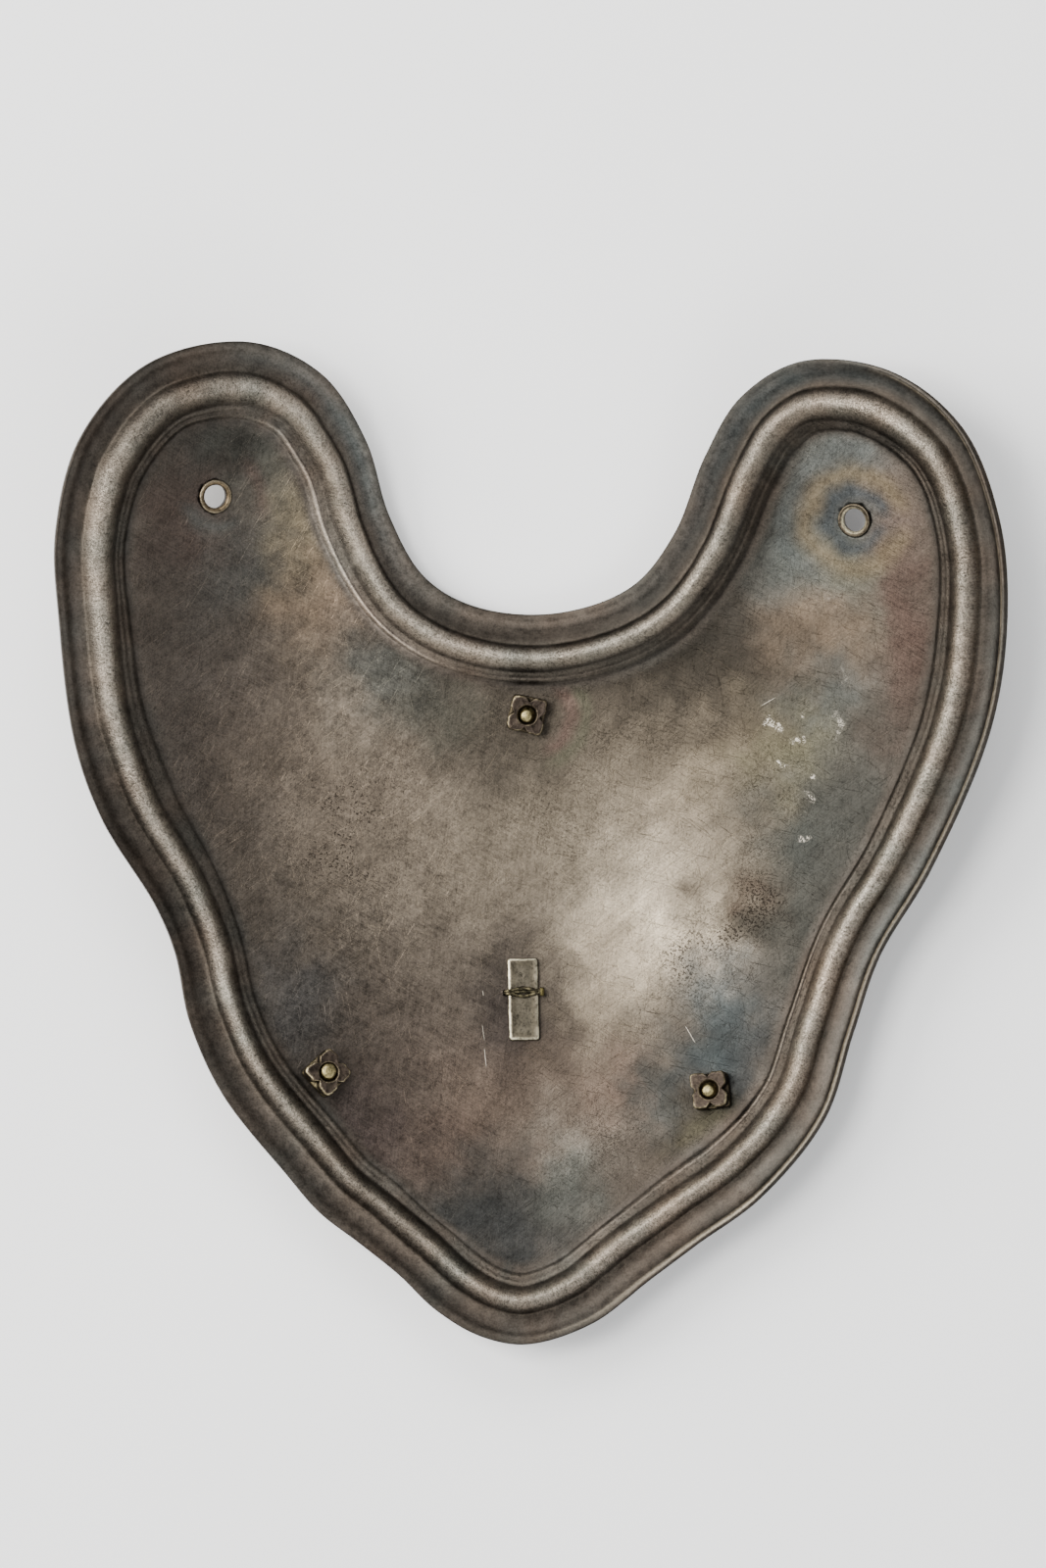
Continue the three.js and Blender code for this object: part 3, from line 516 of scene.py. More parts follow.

# The moulding's brightness round the edge, partly patina tone and partly painted light and shade:
# round, ridge, flange, step, and how blue the flange is, as a painted blue-grey highlight
EDGE_TONES_AND_LIGHT = [
    (0, 0.88, 0.88, 1, 0), (0.03, 0.84, 0.93, 1.35, 0), (0.06, 0.7, 1.08, 1.5, 0),
    (0.09, 0.8, 1.2, 1.3, 0), (0.14, 1, 0.95, 1.05, 0), (0.17, 1, 0.82, 1.05, 0),
    (0.21, 1.1, 0.85, 1.05, 0), (0.25, 1.12, 1.15, 1, 0.1), (0.3, 0.95, 0.95, 0.9, 0.05),
    (0.33, 0.78, 0.86, 0.88, 0), (0.355, 0.82, 0.9, 0.92, 0), (0.37, 0.9, 1, 1, 0),
    (0.4, 1.25, 1.2, 1.4, 0.4), (0.43, 1.15, 1.3, 1.8, 0.6), (0.455, 1.3, 1.25, 2.3, 0.4),
    (0.475, 1.3, 1.15, 2.2, 0.1), (0.49, 1.1, 0.97, 1.05, 0), (0.51, 0.97, 0.95, 0.85, 0),
    (0.545, 0.92, 0.87, 0.65, 0.1), (0.57, 0.88, 0.82, 0.5, 0.3), (0.6, 0.92, 0.83, 0.65, 0.4),
    (0.64, 0.95, 0.85, 0.9, 0.3), (0.68, 0.86, 0.85, 0.95, 0.1), (0.72, 0.88, 0.9, 0.8, 0.1),
    (0.77, 1, 0.95, 0.75, 0.25), (0.83, 1.03, 0.95, 0.85, 0.3), (0.88, 0.92, 0.95, 0.85, 0.1),
    (0.94, 0.95, 0.95, 1, 0), (0.97, 0.95, 0.9, 1.25, 0), (1, 0.88, 0.88, 1, 0),
]

# Colours across the moulding on the back, in zone units: the ridge's crest pale from wear and
# painted highlight, the step's bead crests pale as painted highlight
ACROSS_COLOURS_AND_LIGHT = [
    (0, "453e37"), (0.12, "5e5449"), (0.3, "61564b"), (0.55, "5a5046"), (0.8, "584e44"),
    (0.97, "61564a"), (1.04, "605548"), (1.12, "76695b"), (1.25, "a0917e"), (1.5, "b3a48f"),
    (1.7, "988974"), (1.88, "766959"), (2.02, "5a5045"), (2.15, "5c5247"), (2.3, "75695a"),
    (2.48, "564c41"), (2.6, "584e44"), (2.74, "695e50"), (2.88, "544c43"), (2.97, "544c43"),
    (3.1, "514941"), (3.6, "5f564c"),
]

# The flange's outer and inner halves lightened and darkened as painted light and shade, and painted
# shade on the field beside the moulding, round the edge
HALVES_LIGHT_AND_SHADE = [
    (0, 1, 0.95, -0.35), (0.04, 1, 1.05, -0.1), (0.1, 1.1, 1.1, 0), (0.2, 1.1, 1.3, 0),
    (0.25, 1.3, 1.5, 0), (0.3, 1.3, 1.1, 0), (0.42, 1.2, 1, 0), (0.465, 1.3, 0.85, 0.1),
    (0.485, 1.6, 0.65, -0.6), (0.5, 1.9, 0.5, -0.85), (0.53, 1.9, 0.5, -0.5), (0.555, 1.8, 0.5, -1),
    (0.59, 1.7, 0.5, -0.6), (0.62, 1.6, 0.55, 0.1), (0.68, 1.2, 0.6, -0.2), (0.75, 1, 0.65, -0.4),
    (0.84, 1, 1, -0.45), (0.93, 1, 1, -0.5), (1, 1, 0.95, -0.4),
]
# How bright the painted highlight on the rim's cut edge is, round the edge
CUT_EDGE_HIGHLIGHT = [(0, 0), (0.64, 0), (0.67, 1), (0.93, 1), (0.97, 0.2), (1, 0)]

# Broad painted light and shade of the field, with some stain tone: x, y, reach across, reach up,
# how much, turn in degrees if any
FIELD_LIGHT_SHADE_AND_TONE = [
    (50, 0, 18, 34, -0.75, 12), (28, 30, 20, 9, -0.75, 15), (40, -10, 6, 10, -0.35, 30),
    (14, -56, 24, 14, -0.55), (0, 22, 26, 8, -0.35), (33, -36, 14, 11, -0.5),
    (48, 56, 9, 20, -0.5, -15), (68, 40, 6, 20, -0.4, 5), (-3, -25, 12, 12, -0.35),
    (0, 0, 24, 16, -0.2), (-62, 52, 10, 18, -0.2), (-38, 50, 5, 14, 0.35, 20),
    (-30, -42, 14, 12, -0.25), (-2, -68, 12, 8, -0.3), (62, 20, 8, 16, -0.3),
    (-1, -27, 7, 14, -0.6), (-24, 12, 14, 9, 0.2, -20), (46, 37, 11, 8, 0.4, 20),
    (51, 19, 8, 7, 0.25), (36, -10, 5, 8, -0.3, 20), (5, -53, 9, 6, 0.4, 30), (8, 10, 14, 8, -0.2),
    (-14, -10, 10, 10, 0.25), (-48, 30, 14, 26, 0.15), (-33, 27, 6, 7, 0.38), (-16, 30, 7, 4, -0.3),
    (-32, -12, 16, 20, 0.15), (-15, -42, 8, 7, 0.3), (53, 30, 8, 7, 0.2), (56, 10, 6, 8, 0.15),
    (32, -22, 6, 6, 0.35), (46, 48, 6, 6, 0.2), (60, 60, 7, 7, 0.25), (15, 2, 10, 10, -0.12),
    (33, -12, 5, 6, -0.2), (3.5, -32, 4.5, 10, -0.15), (-1.5, -31, 6, 12, -0.12),
    (18, -33, 8, 7, -0.1), (38, -37, 7, 8, -0.3), (28, -51, 13, 9, -0.3, 30),
    (5, -55, 7, 5, 0.2, 20), (50, 76, 8, 4, 0.65), (31, -43, 8, 8, -0.25), (-47, 17, 8, 6, -0.15),
    (-45, 43, 6, 6, -0.2), (38, -17, 5, 5, -0.3), (30, -25, 6, 5, 0.25), (-9, -50, 8, 6, 0.15),
    (8, -58, 6, 5, 0.2), (48, -35, 6, 12, -0.2), (-8, -27, 6, 8, 0.12), (38, 50, 4, 9, -0.3, -20),
    (-66, 60, 5, 14, -0.2), (-53, -10, 6, 25, -0.15, 12), (-30, -5, 10, 10, -0.1),
    (38, -18, 5, 5, -0.3), (20, -27, 5, 5, -0.15), (50, 42, 6, 6, 0.1), (-44, 17, 6, 5, -0.15),
    (46, -14, 4, 6, 0.2), (24, 26, 8, 6, 0.15, 20), (50, 14, 8, 8, 0.12),
    (-40, 66, 4, 10, 0.15, 15), (-3, -71, 12, 7, -0.15),
]


def spot(px, py, cx, cy, rx, ry, strength, degrees=0):
    """How strong an oval spot is at points, with its strength in its middle."""
    c, s = math.cos(math.radians(degrees)), math.sin(math.radians(degrees))
    u, v = (px - cx) * c + (py - cy) * s, -(px - cx) * s + (py - cy) * c
    return strength * np.exp(-((u / rx) ** 2 + (v / ry) ** 2) * 0.8)


def spots(px, py, table):
    return sum(spot(px, py, *row) for row in table)


def toward(colour, other, share):
    """Colours moved a share of the way to another, at each point."""
    return colour + (other - colour) * np.reshape(share, (-1, 1))


def greyed(colour, tint, share):
    return toward(colour, (colour @ [0.3, 0.6, 0.1])[:, None] * tint, share)


def paint(points, way, depth, back, crisp):
    """The plate's attributes: its stains with painted light and shade, wear and marks, and places
    along its moulding.
    """
    x, y = points[:, 0], points[:, 1]
    flat = columns(x, y, 0 * x)
    warp = columns(noises(flat, 13, 11), noises(flat, 13, 12)) * 5
    warp += columns(noises(flat, 4, 13, 4), noises(flat, 4, 14, 4)) * 2.6
    px, py = x + warp[:, 0], y + warp[:, 1]
    broad = noises(flat, 22, 15)[:, None]
    leaning = columns((x * 0.8 + y * 0.6) / 4, -x * 0.6 + y * 0.8, 0 * x)
    streaks = noises(leaning, 2.2, 16, 4)[:, None]
    patchy = noises(flat, 5, 17, 5)[:, None]
    colour = linear("695e53") * np.exp(0.3 * broad)
    for *oval, code, strength, turn in STAINS_AND_PAINTED_LIGHT:
        colour = toward(colour, linear(code), spot(px, py, *oval, strength, turn))
    for cx, cy, radius, width, start, stop, code, strength in RINGS:
        r = np.hypot(x - cx + warp[:, 0] * 0.25, y - cy + warp[:, 1] * 0.25)
        angle = np.degrees(np.arctan2(y - cy, x - cx))
        off = np.abs((angle - (start + stop) / 2 + 180) % 360 - 180) - (stop - start) / 2
        share = strength * hump(r, radius, width) * np.clip(-off / 25, 0, 1)
        colour = toward(colour, linear(code), share)
    # the broad painted light and shade, with streaky and patchy tone
    colour = colour * np.exp(spots(px, py, FIELD_LIGHT_SHADE_AND_TONE)[:, None] + 0.16 * streaks + 0.17 * patchy)
    colour = greyed(colour, [1.05, 0.99, 0.9], 0.22)
    # the moulding
    flange, ridge, step = (np.array(ZONE_WIDTHS) * knocks_at(way)[:, :3]).T
    zone = np.where(depth < flange, depth / flange, np.where(
        depth < flange + ridge, 1 + (depth - flange) / ridge, 2 + (depth - flange - ridge) / step))
    # where the step's beads fade, their painted highlights go too
    unlit_beads = [(a, "564d43" if 2.1 < a < 2.9 else code) for a, code in ACROSS_COLOURS_AND_LIGHT]
    lit_beads, plain = (columns(*along([(a, *linear(code)) for a, code in table], zone))
                     for table in (ACROSS_COLOURS_AND_LIGHT, unlit_beads))
    beads = np.interp(way, np.arange(STATIONS + 1) / STATIONS, np.append(crisp, crisp[0]))
    across = toward(plain, lit_beads, 1.1 * beads)
    ridge_tone, flange_tone, step_tone, blue_reflection = along(EDGE_TONES_AND_LIGHT, way)
    outer, inner, beside = along(HALVES_LIGHT_AND_SHADE, way)
    second = along(SECOND_RIDGE, way)[0]
    on_flange = np.clip(1.15 - zone, 0, 0.15) / 0.15
    on_step = np.clip((zone - 2.0) / 0.15, 0, 1) * np.clip((3.5 - zone) / 0.5, 0, 1)
    tone = ridge_tone + (flange_tone - ridge_tone) * on_flange + (step_tone - ridge_tone) * on_step
    strip = np.column_stack([on_ring(way), depth])
    mottle, tint = noises(strip, 3.0, 21, 4), noises(strip, 9, 22)[:, None]
    # patina mottle; a painted highlight on the second ridge's crest and painted shade before it; the
    # flange's halves as painted light and shade
    across = across * (
        tone**1.6 * np.exp(0.26 * mottle)
        * (1 - 0.5 * second * hump(zone, 2.28, 0.2) + 1.6 * second * hump(zone, 2.72, 0.15))
        * (1 + (inner - 1) * hump(zone, 0.8, 0.2) + (outer - 1) * hump(zone, 0.33, 0.17)))[:, None]
    warm, cool = np.array([1.1, 0.98, 0.9]), np.array([0.86, 0.99, 1.06])
    across = across * np.where(tint > 0, 1 + (warm - 1) * tint, 1 - (cool - 1) * tint)
    across = greyed(across, [1.04, 1.0, 0.92], 0.35)
    # the flange's blue, a painted blue-grey highlight along its middle
    across = toward(across, linear("5b6c70"), 0.75 * blue_reflection * on_flange * hump(zone, 0.42, 0.3))
    # painted shade on the field beside the moulding
    colour = colour * np.exp(beside * hump(np.clip(zone - 3, 0, 9), 0, 0.7))[:, None]
    colour = toward(across, colour, ease(np.clip((zone - 3) / 0.9, 0, 1)))
    # a painted highlight along the rim's cut edge
    edge = hump(depth, 1.1, 0.16) * along(CUT_EDGE_HIGHLIGHT, way)[0]
    colour = toward(colour, linear("d9ccb2") / PLATE_TONE, 0.85 * edge)
    # the front, plainer
    front = linear("7b6f62") * np.exp(0.22 * broad + 0.1 * patchy)
    front = front * (1 - 0.45 * hump(depth, 0, 6))[:, None]
    colour = toward(front, colour, back) * PLATE_TONE
    crest, field = hump(zone, 1.45, 0.4) * (zone < 3), (zone > 3.3) * back
    pits, scuffs = (np.clip(spots(px, py, table), 0, 1) * field for table in (PITS, SCUFFS))
    pits = pits + 0.5 * (zone < 3) * (zone > 1.1) * back
    return {"stain": np.clip(colour, 0.001, 1), "strip": strip,
            "wear": columns(crest * ridge_tone, crest * back, 0 * back),
            "marks": columns(pits, scuffs, field)}


def attribute(mesh, name, values, kind="FLOAT_COLOR"):
    layer = mesh.attributes.new(name, kind, "POINT")
    if kind == "FLOAT_COLOR":
        values = np.pad(values, ((0, 0), (0, 1)), constant_values=1)
    field = "color" if kind == "FLOAT_COLOR" else "vector"
    layer.data.foreach_set(field, np.float32(values).ravel())


# Materials


class Nodes:
    """A short way to write a material's nodes."""

    def __init__(self, name):
        self.material = bpy.data.materials.new(name)
        self.material.use_nodes = True
        self.tree = self.material.node_tree
        self.tree.nodes.clear()
        out = self.make("ShaderNodeOutputMaterial")
        self.shader = self.make("ShaderNodeBsdfPrincipled")
        self.put(out.inputs[0], self.shader.outputs[0])

    def put(self, socket, value):
        if isinstance(value, bpy.types.NodeSocket):
            self.tree.links.new(value, socket)
        elif isinstance(value, tuple) and len(socket.default_value) > len(value):
            socket.default_value = (*value, 1.0)
        else:
            socket.default_value = value

    def make(self, kind, inputs=(), **settings):
        node = self.tree.nodes.new(kind)
        for key, value in settings.items():
            setattr(node, key, value)
        for key, value in dict(inputs).items():
            self.put(node.inputs[key], value)
        return node

    def attribute(self, name, output="Color"):
        return self.make("ShaderNodeAttribute", attribute_name=name).outputs[output]

    def channels(self, name):
        return self.make("ShaderNodeSeparateColor", {0: self.attribute(name)}).outputs

    def place(self):
        return self.make("ShaderNodeTexCoord").outputs["Object"]

    def mapped(self, vector, kind="POINT", **inputs):
        """The vector turned, stretched and shifted by a Mapping node's inputs."""
        return self.make(
            "ShaderNodeMapping", {"Vector": vector, **inputs}, vector_type=kind).outputs[0]

    def noise(self, vector, scale, detail=3.0, rough=0.55, distortion=0.0):
        return self.make("ShaderNodeTexNoise", {
            "Vector": vector, "Scale": scale, "Detail": detail, "Roughness": rough,
            "Distortion": distortion}).outputs["Fac"]

    def span(self, value, low, high, start=0.0, stop=1.0):
        return self.make("ShaderNodeMapRange", {
            "Value": value, "From Min": low, "From Max": high, "To Min": start, "To Max": stop,
        }, interpolation_type="SMOOTHSTEP").outputs[0]

    def math(self, operation, a, b=0.0):
        return self.make("ShaderNodeMath", {0: a, 1: b}, operation=operation).outputs[0]

    def chain(self, operation, first, *others):
        for value in others:
            first = self.math(operation, first, value)
        return first

    def times(self, *values):
        return self.chain("MULTIPLY", *values)

    def most(self, *values):
        return self.chain("MAXIMUM", *values)

    def total(self, *values):
        return self.chain("ADD", *values)

    def mix(self, share, a, b, blend="MIX"):
        return self.make("ShaderNodeMix", {"Factor": share, 6: a, 7: b},
                         data_type="RGBA", blend_type=blend).outputs[2]

    def grey(self, value):
        return self.make("ShaderNodeCombineColor", {0: value, 1: value, 2: value}).outputs[0]

    def finish(self, colour, roughness, height=None, depth=0.0, strength=0.0, metallic=1.0):
        inputs = {"Base Color": colour, "Roughness": roughness, "Metallic": metallic}
        if height is not None:
            inputs["Normal"] = self.make("ShaderNodeBump", {
                "Height": height, "Distance": depth, "Strength": strength}).outputs[0]
        for key, value in inputs.items():
            self.put(self.shader.inputs[key], value)
        return self.material


DARK = (0.012, 0.01, 0.008)


def hair(n, at, degrees, across, along_it, shift, detail=3.0):
    """Fine brushed texture in one direction."""
    turned = n.mapped(at, Rotation=(0, 0, math.radians(degrees)))
    return n.noise(n.mapped(turned, Scale=(along_it, across, along_it), Location=(shift, shift, 0)),
                   1.0, detail, 0.6)


def stroke(n, at, x0, y0, x1, y1, width):
    """One scratch: 1 along its middle and 0 off it."""
    middle = (np.array([(x0 + x1) / 2, (y0 + y1) / 2]) + SHIFT[:2]) * MM
    local = n.mapped(
        at, "TEXTURE", Location=(*middle, 0), Rotation=(0, 0, math.atan2(y1 - y0, x1 - x0)),
        Scale=(math.hypot(x1 - x0, y1 - y0) / 2 * MM, width * MM, 1))
    wavy = n.times(n.math("SUBTRACT", n.noise(at, 500, 2), 0.5), 3.0)
    parts = n.make("ShaderNodeSeparateXYZ", {0: local}).outputs
    far = n.most(*(n.math("ABSOLUTE", part) for part in (parts[0], n.total(parts[1], wavy))))
    return n.span(far, 1.0, 0.5)


def plate_material():
    n = Nodes("patinated_steel")
    at, strip, stain = n.place(), n.attribute("strip", "Vector"), n.attribute("stain")
    crest, hatch_zone = n.channels("wear")[:2]
    pitted, scuffed, on_field = n.channels("marks")[:3]
    cloud = n.noise(at, 90, 5, 0.62)
    mid = n.noise(at, 420, 7, 0.72, 0.3)
    grain = n.noise(at, 1100, 4, 0.7)
    fine = n.noise(at, 3000, 2, 0.6)
    where = n.span(n.noise(at, 45, 2), 0.4, 0.6)
    rising = n.span(hair(n, at, -40, 6200, 130, 1), 0.32, 0.68, -0.14, 0.14)
    falling = n.span(hair(n, at, 31, 6200, 130, 2), 0.32, 0.68, -0.14, 0.14)
    level = n.span(hair(n, at, -82, 6200, 150, 3), 0.32, 0.68, -0.11, 0.11)
    brushed = n.total(
        n.times(rising, where), n.times(falling, n.math("SUBTRACT", 1.0, where)), level)
    brushed = n.times(brushed, on_field)
    tone = n.total(
        n.span(cloud, 0.25, 0.75, 0.93, 1.07), n.span(mid, 0.3, 0.7, -0.11, 0.11),
        n.span(grain, 0.25, 0.75, -0.22, 0.22), n.span(fine, 0.25, 0.75, -0.22, 0.22), brushed)
    # hatching and specks on the ridge
    hatching = n.noise(n.mapped(strip, Scale=(1, 1, 0.3)), 2.4, 3, 0.7)
    hatch = n.times(n.span(hatching, 0.3, 0.7, -0.16, 0.16), hatch_zone)
    speckle = n.times(n.span(n.noise(strip, 3.4, 4, 0.75), 0.36, 0.62, -0.45, 0.35), hatch_zone)
    colour = n.mix(1.0, stain, n.grey(n.total(tone, hatch, speckle)), "MULTIPLY")
    # pale hair scratches
    lines = n.most(*(n.span(hair(n, at, degrees, 4600, 110, shift * 7.7, 2.0), 0.655, 0.7)
                     for degrees, shift in ((36, 1), (-33, 2), (78, 3), (12, 4), (-60, 5))))
    lines = n.times(lines, on_field)
    pale = n.mix(1.0, colour, (1.9, 1.86, 1.75), "MULTIPLY")
    colour = n.mix(n.times(lines, 0.4), colour, pale)
    # dark pits, in drifts
    drift = n.times(pitted, n.span(n.noise(at, 160, 4, 0.6), 0.35, 0.55))
    small = n.span(n.noise(at, 2300, 2, 0.6), 0.46, 0.36)
    large = n.span(n.noise(at, 900, 3, 0.65), 0.34, 0.27)
    pits = n.most(n.times(small, drift), n.times(large, n.total(n.times(drift, 0.6), 0.35)))
    colour = n.mix(n.times(pits, 0.8), colour, DARK)
    # pale scuffs and single scratches
    crumbs = n.span(n.noise(at, 1700, 5, 0.75, 1.2), 0.5, 0.6)
    bright = n.times(n.span(scuffed, 0.25, 0.6), crumbs)
    bright = n.most(bright, *(stroke(n, at, *row) for row in STROKES))
    colour = n.mix(n.times(bright, 0.7), colour, (0.55, 0.5, 0.42))
    rough = n.total(n.span(cloud, 0.25, 0.75, 0.4, 0.52), n.times(crest, -0.08),
                    n.span(mid, 0.28, 0.72, -0.05, 0.05), n.span(grain, 0.2, 0.8, -0.06, 0.06))
    height = n.total(*(n.times(part, share) for part, share in (
        (grain, 0.35), (pits, -0.8), (brushed, 0.3), (lines, -0.4), (hatch, 0.8), (speckle, 0.5),
        (mid, 0.25))))
    return n.finish(colour, rough, height, 0.00008, 0.8)


def small_metal(name, scale, rough, depth, pits, uneven=0.3):
    """Metal of a small piece, coloured by the piece's own points."""
    n = Nodes(name)
    at = n.place()
    cloud, grain = n.noise(at, scale, 5, 0.65), n.noise(at, scale * 4, 3, 0.65)
    tone = n.total(
        n.span(cloud, 0.3, 0.7, 1 - uneven, 1 + uneven), n.span(grain, 0.3, 0.7, -0.2, 0.2))
    colour = n.mix(1.0, n.attribute("stain"), n.grey(tone), "MULTIPLY")
    colour = n.mix(n.times(n.span(grain, 0.42, 0.33), pits), colour, DARK)
    height = n.total(cloud, n.times(grain, 0.5))
    return n.finish(colour, n.span(cloud, 0.3, 0.7, *rough), height, depth, 0.7)


# Small pieces, in millimetres in their seats' frames


def loft(rings, first=None, last=None, loop=False):
    """Points and faces through rings of as many points each, with an end closed by a point given."""
    n, points, faces = len(rings[0]), list(rings), []
    for a in range(len(rings) if loop else len(rings) - 1):
        b = (a + 1) % len(rings)
        faces += [(a * n + k, a * n + (k + 1) % n, b * n + (k + 1) % n, b * n + k) for k in range(n)]
    total = len(rings) * n
    for cap, ring, way in ((first, 0, -1), (last, len(rings) - 1, 1)):
        if cap is not None:
            points.append(np.array([cap], float))
            faces += [(ring * n + k, ring * n + (k + 1) % n, total)[::way] for k in range(n)]
            total += 1
    return np.concatenate(points), faces


def fix(node, slot, seat_frame, points, faces, colours, tone, material):
    """Put a small piece in its seat, in place of its solid."""
    obj = mesh_object(f"{node}_detail", [TO_ROW @ seat_frame @ Vector(p) for p in points], faces)
    attribute(obj.data, "stain", np.clip(np.concatenate(colours) * tone, 0.001, 1))
    obj.data.materials.append(material)
    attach(obj, "root")
    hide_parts(node)


# shape, inset or radius, height, colour, worn and lit colour, how worn and lit: the pale colours
# are partly rubbed metal and partly painted highlight on the bevels
NUT_ROWS = [
    ("base", 0.05, 0.3, "241f1b", "241f1b", 0), ("base", 0, 1.2, "2d2722", "6b604c", 0.3),
    ("base", 0.04, 1.66, "453c32", "a3966f", 0.9), ("base", 0.22, 1.84, "453c32", "8d8162", 0.6),
    ("notch", 0.18, 1.86, "171411", "171411", 0), ("notch", 0.1, 2.5, "2a2420", "3e362f", 0.5),
    ("notch", 0.02, 3.95, "362f29", "5c5140", 0.5), ("notch", 0.06, 4.26, "5a4f41", "c4b58c", 1.2),
    ("notch", 0.2, 4.44, "6a5e4c", "cfc09a", 1.2), ("notch", 0.36, 4.5, "453c36", "6a5f50", 0.6),
    ("notch", 0.7, 4.45, "3d352f", "554b40", 0.5), ("round", 2.02, 4.38, "3b332d", "4f463b", 0.5),
    ("round", 1.86, 4.42, "584e42", "8d8166", 0.7), ("round", 1.72, 4.05, "4f463b", "6d614f", 0.6),
    ("round", 1.62, 3.85, "5a5045", "5a5045", 0), ("round", 1.5, 3.7, "2a2520", "2a2520", 0),
    ("round", 1.5, 0.3, "0e0c0b", "0e0c0b", 0),
]
# How worn and how strong the painted highlights, seed, tone
NUT_WEAR_AND_GLINT = {"top": (0.75, 1, 0.58), "left": (1.3, 2, 0.72), "right": (1.2, 3, 0.55)}


def build_nut(side, material):
    wear_and_glint_by, seed, tone = NUT_WEAR_AND_GLINT[side]
    ring = circle(1, 0, 160)
    (x, y), (c, s) = ring[:, :2].T, np.abs(ring[:, :2].T)
    rough = 1 + 0.05 * noises(ring, 0.5, 50 + seed) + 0.02 * noises(ring, 0.12, 60 + seed)
    rings, colours = [], []
    for number, (shape, size, height, code, wear_and_glint, share) in enumerate(NUT_ROWS):
        if shape == "round":
            radius = size
        else:
            radius = (NUT_SIDE / 2 - size) * (c**9 + s**9) ** (-1 / 9)
            if shape == "notch":
                in_notch = np.clip(1 - radius * np.minimum(c, s) / (NOTCH_WIDTH / 2), 0, 1)
                radius = (radius - in_notch * NOTCH_DEPTH * (1 - 0.9 * size)) * rough
        level = height + 0.1 * noises(ring + [0, 0, height], 0.6, 70 + seed) * (height > 1)
        rings.append(columns(radius * x, radius * y, level))
        wear = np.clip(0.45 + 0.9 * noises(ring + [0, 0, number], 0.3, 80 + seed), 0, 1)
        # stronger on the left and lower sides, as painted highlight where the light falls
        wear = wear * share * wear_and_glint_by * (0.75 - 0.35 * x - 0.2 * y)
        colours.append(toward(linear(code), linear(wear_and_glint), np.clip(wear, 0, 1)))
    fix(f"nut_{side}", "nut_steel", STUD_FRAMES[side], *loft(rings, loop=True), colours, tone,
        material)


# radius, height, colour
STUD_ROWS = [
    (1.6, -2.3, "5f584a"), (2.6, -2.1, "5f584a"), (3.08, -1.85, "6b6352"), (3.2, -1.65, "5a5243"),
    (3.1, -1.44, "3a352b"), (1.3, -1.42, "3a352b"), (1.45, 3.9, "6d6242"), (1.3, 4, "7a6e4c"),
    (1.27, 4.2, "887b51"), (1.15, 4.4, "a99b6d"), (0.9, 4.56, "b3a67a"), (0.5, 4.67, "a89a6c"),
]
# Above this height a stud's tip is shifted and sized by its row: across, up, size
TIP_FROM = 3.9
TIPS = {"top": (-0.1, -0.2, 0.88), "left": (0.15, 0.1, 1.1), "right": (-0.18, -0.1, 0.9)}


def build_stud(side, material):
    *shift, size = TIPS[side]
    rings, colours = [], []
    for radius, height, code in STUD_ROWS:
        if height > TIP_FROM:
            ring = circle(radius * size, height, shift=shift)
            ring[:, :2] *= 1 + 0.05 * noises(ring, 0.9, 90 + len(side))[:, None]
            ring[:, 2] += 0.07 * noises(ring, 0.6, 95 + len(side))
        else:
            ring = circle(radius, height)
        rings.append(ring)
        colours.append(np.tile(linear(code), (len(ring), 1)))
    colours += [linear("5f584a")[None], linear("b3a67a")[None]]
    fix(f"stud_{side}", "stud_brass", STUD_FRAMES[side],
        *loft(rings, (0, 0, -2.35), (*shift, 4.7)), colours, 0.55, material)


# radius, height, colour of the left eyelet, colour of the right one
EYELET_ROWS = [
    (2.85, -1.82, "4a4136", "4a4136"), (2.45, -1.66, "4a4136", "6a6152"),
    (2.3, -1.4, "3a3028", "6a6152"), (2.3, -0.3, "3a3028", "8f866f"), (2.13, 0, "40362b", "a89e82"),
    (2.07, 0.15, "4f4233", "cfc5a6"), (2.16, 0.4, "6f5f49", "d9cfb0"),
    (2.38, 0.56, "8a795f", "8c826b"), (2.55, 0.6, "7b6b54", "3a342c"),
    (2.72, 0.64, "8f8067", "4a4338"), (2.9, 0.62, "a59880", "5c5446"),
    (3.04, 0.5, "6b5e4c", "4a4338"), (3.1, 0.32, "241f1a", "241f1a"),
    (2.95, 0.22, "0e0c0a", "0e0c0a"), (2.5, 0.2, "0e0c0a", "0e0c0a"),
    (2.45, -1.4, "4a4136", "4a4136"), (3.4, -1.42, "4a4136", "4a4136"),
    (3.6, -1.6, "5d5345", "5d5345"), (3.5, -1.79, "6a5f4f", "6a5f4f"),
    (3.15, -1.84, "6a5f4f", "6a5f4f"),
]
EYELET_TONES = {"left": 0.52, "right": 0.72}


def build_eyelet(side, material):
    rings, colours = [], []
    for number, (radius, height, *codes) in enumerate(EYELET_ROWS):
        ring = circle(radius, height, 96)
        if height > 0.3 and radius > 2.3:
            rough = noises(ring, 0.35, 101 + len(side))
            ring[:, 2] += 0.05 * rough
            ring[:, :2] *= 1 + 0.012 * rough[:, None]
        rings.append(ring)
        shade = 1 + 0.5 * noises(ring, 0.5, 111 + number)[:, None]
        colours.append(linear(codes[side == "right"]) * shade)
    fix(f"eyelet_{side}", "eyelet_steel", EYELET_FRAMES[side], *loft(rings, loop=True), colours,
        EYELET_TONES[side], material)


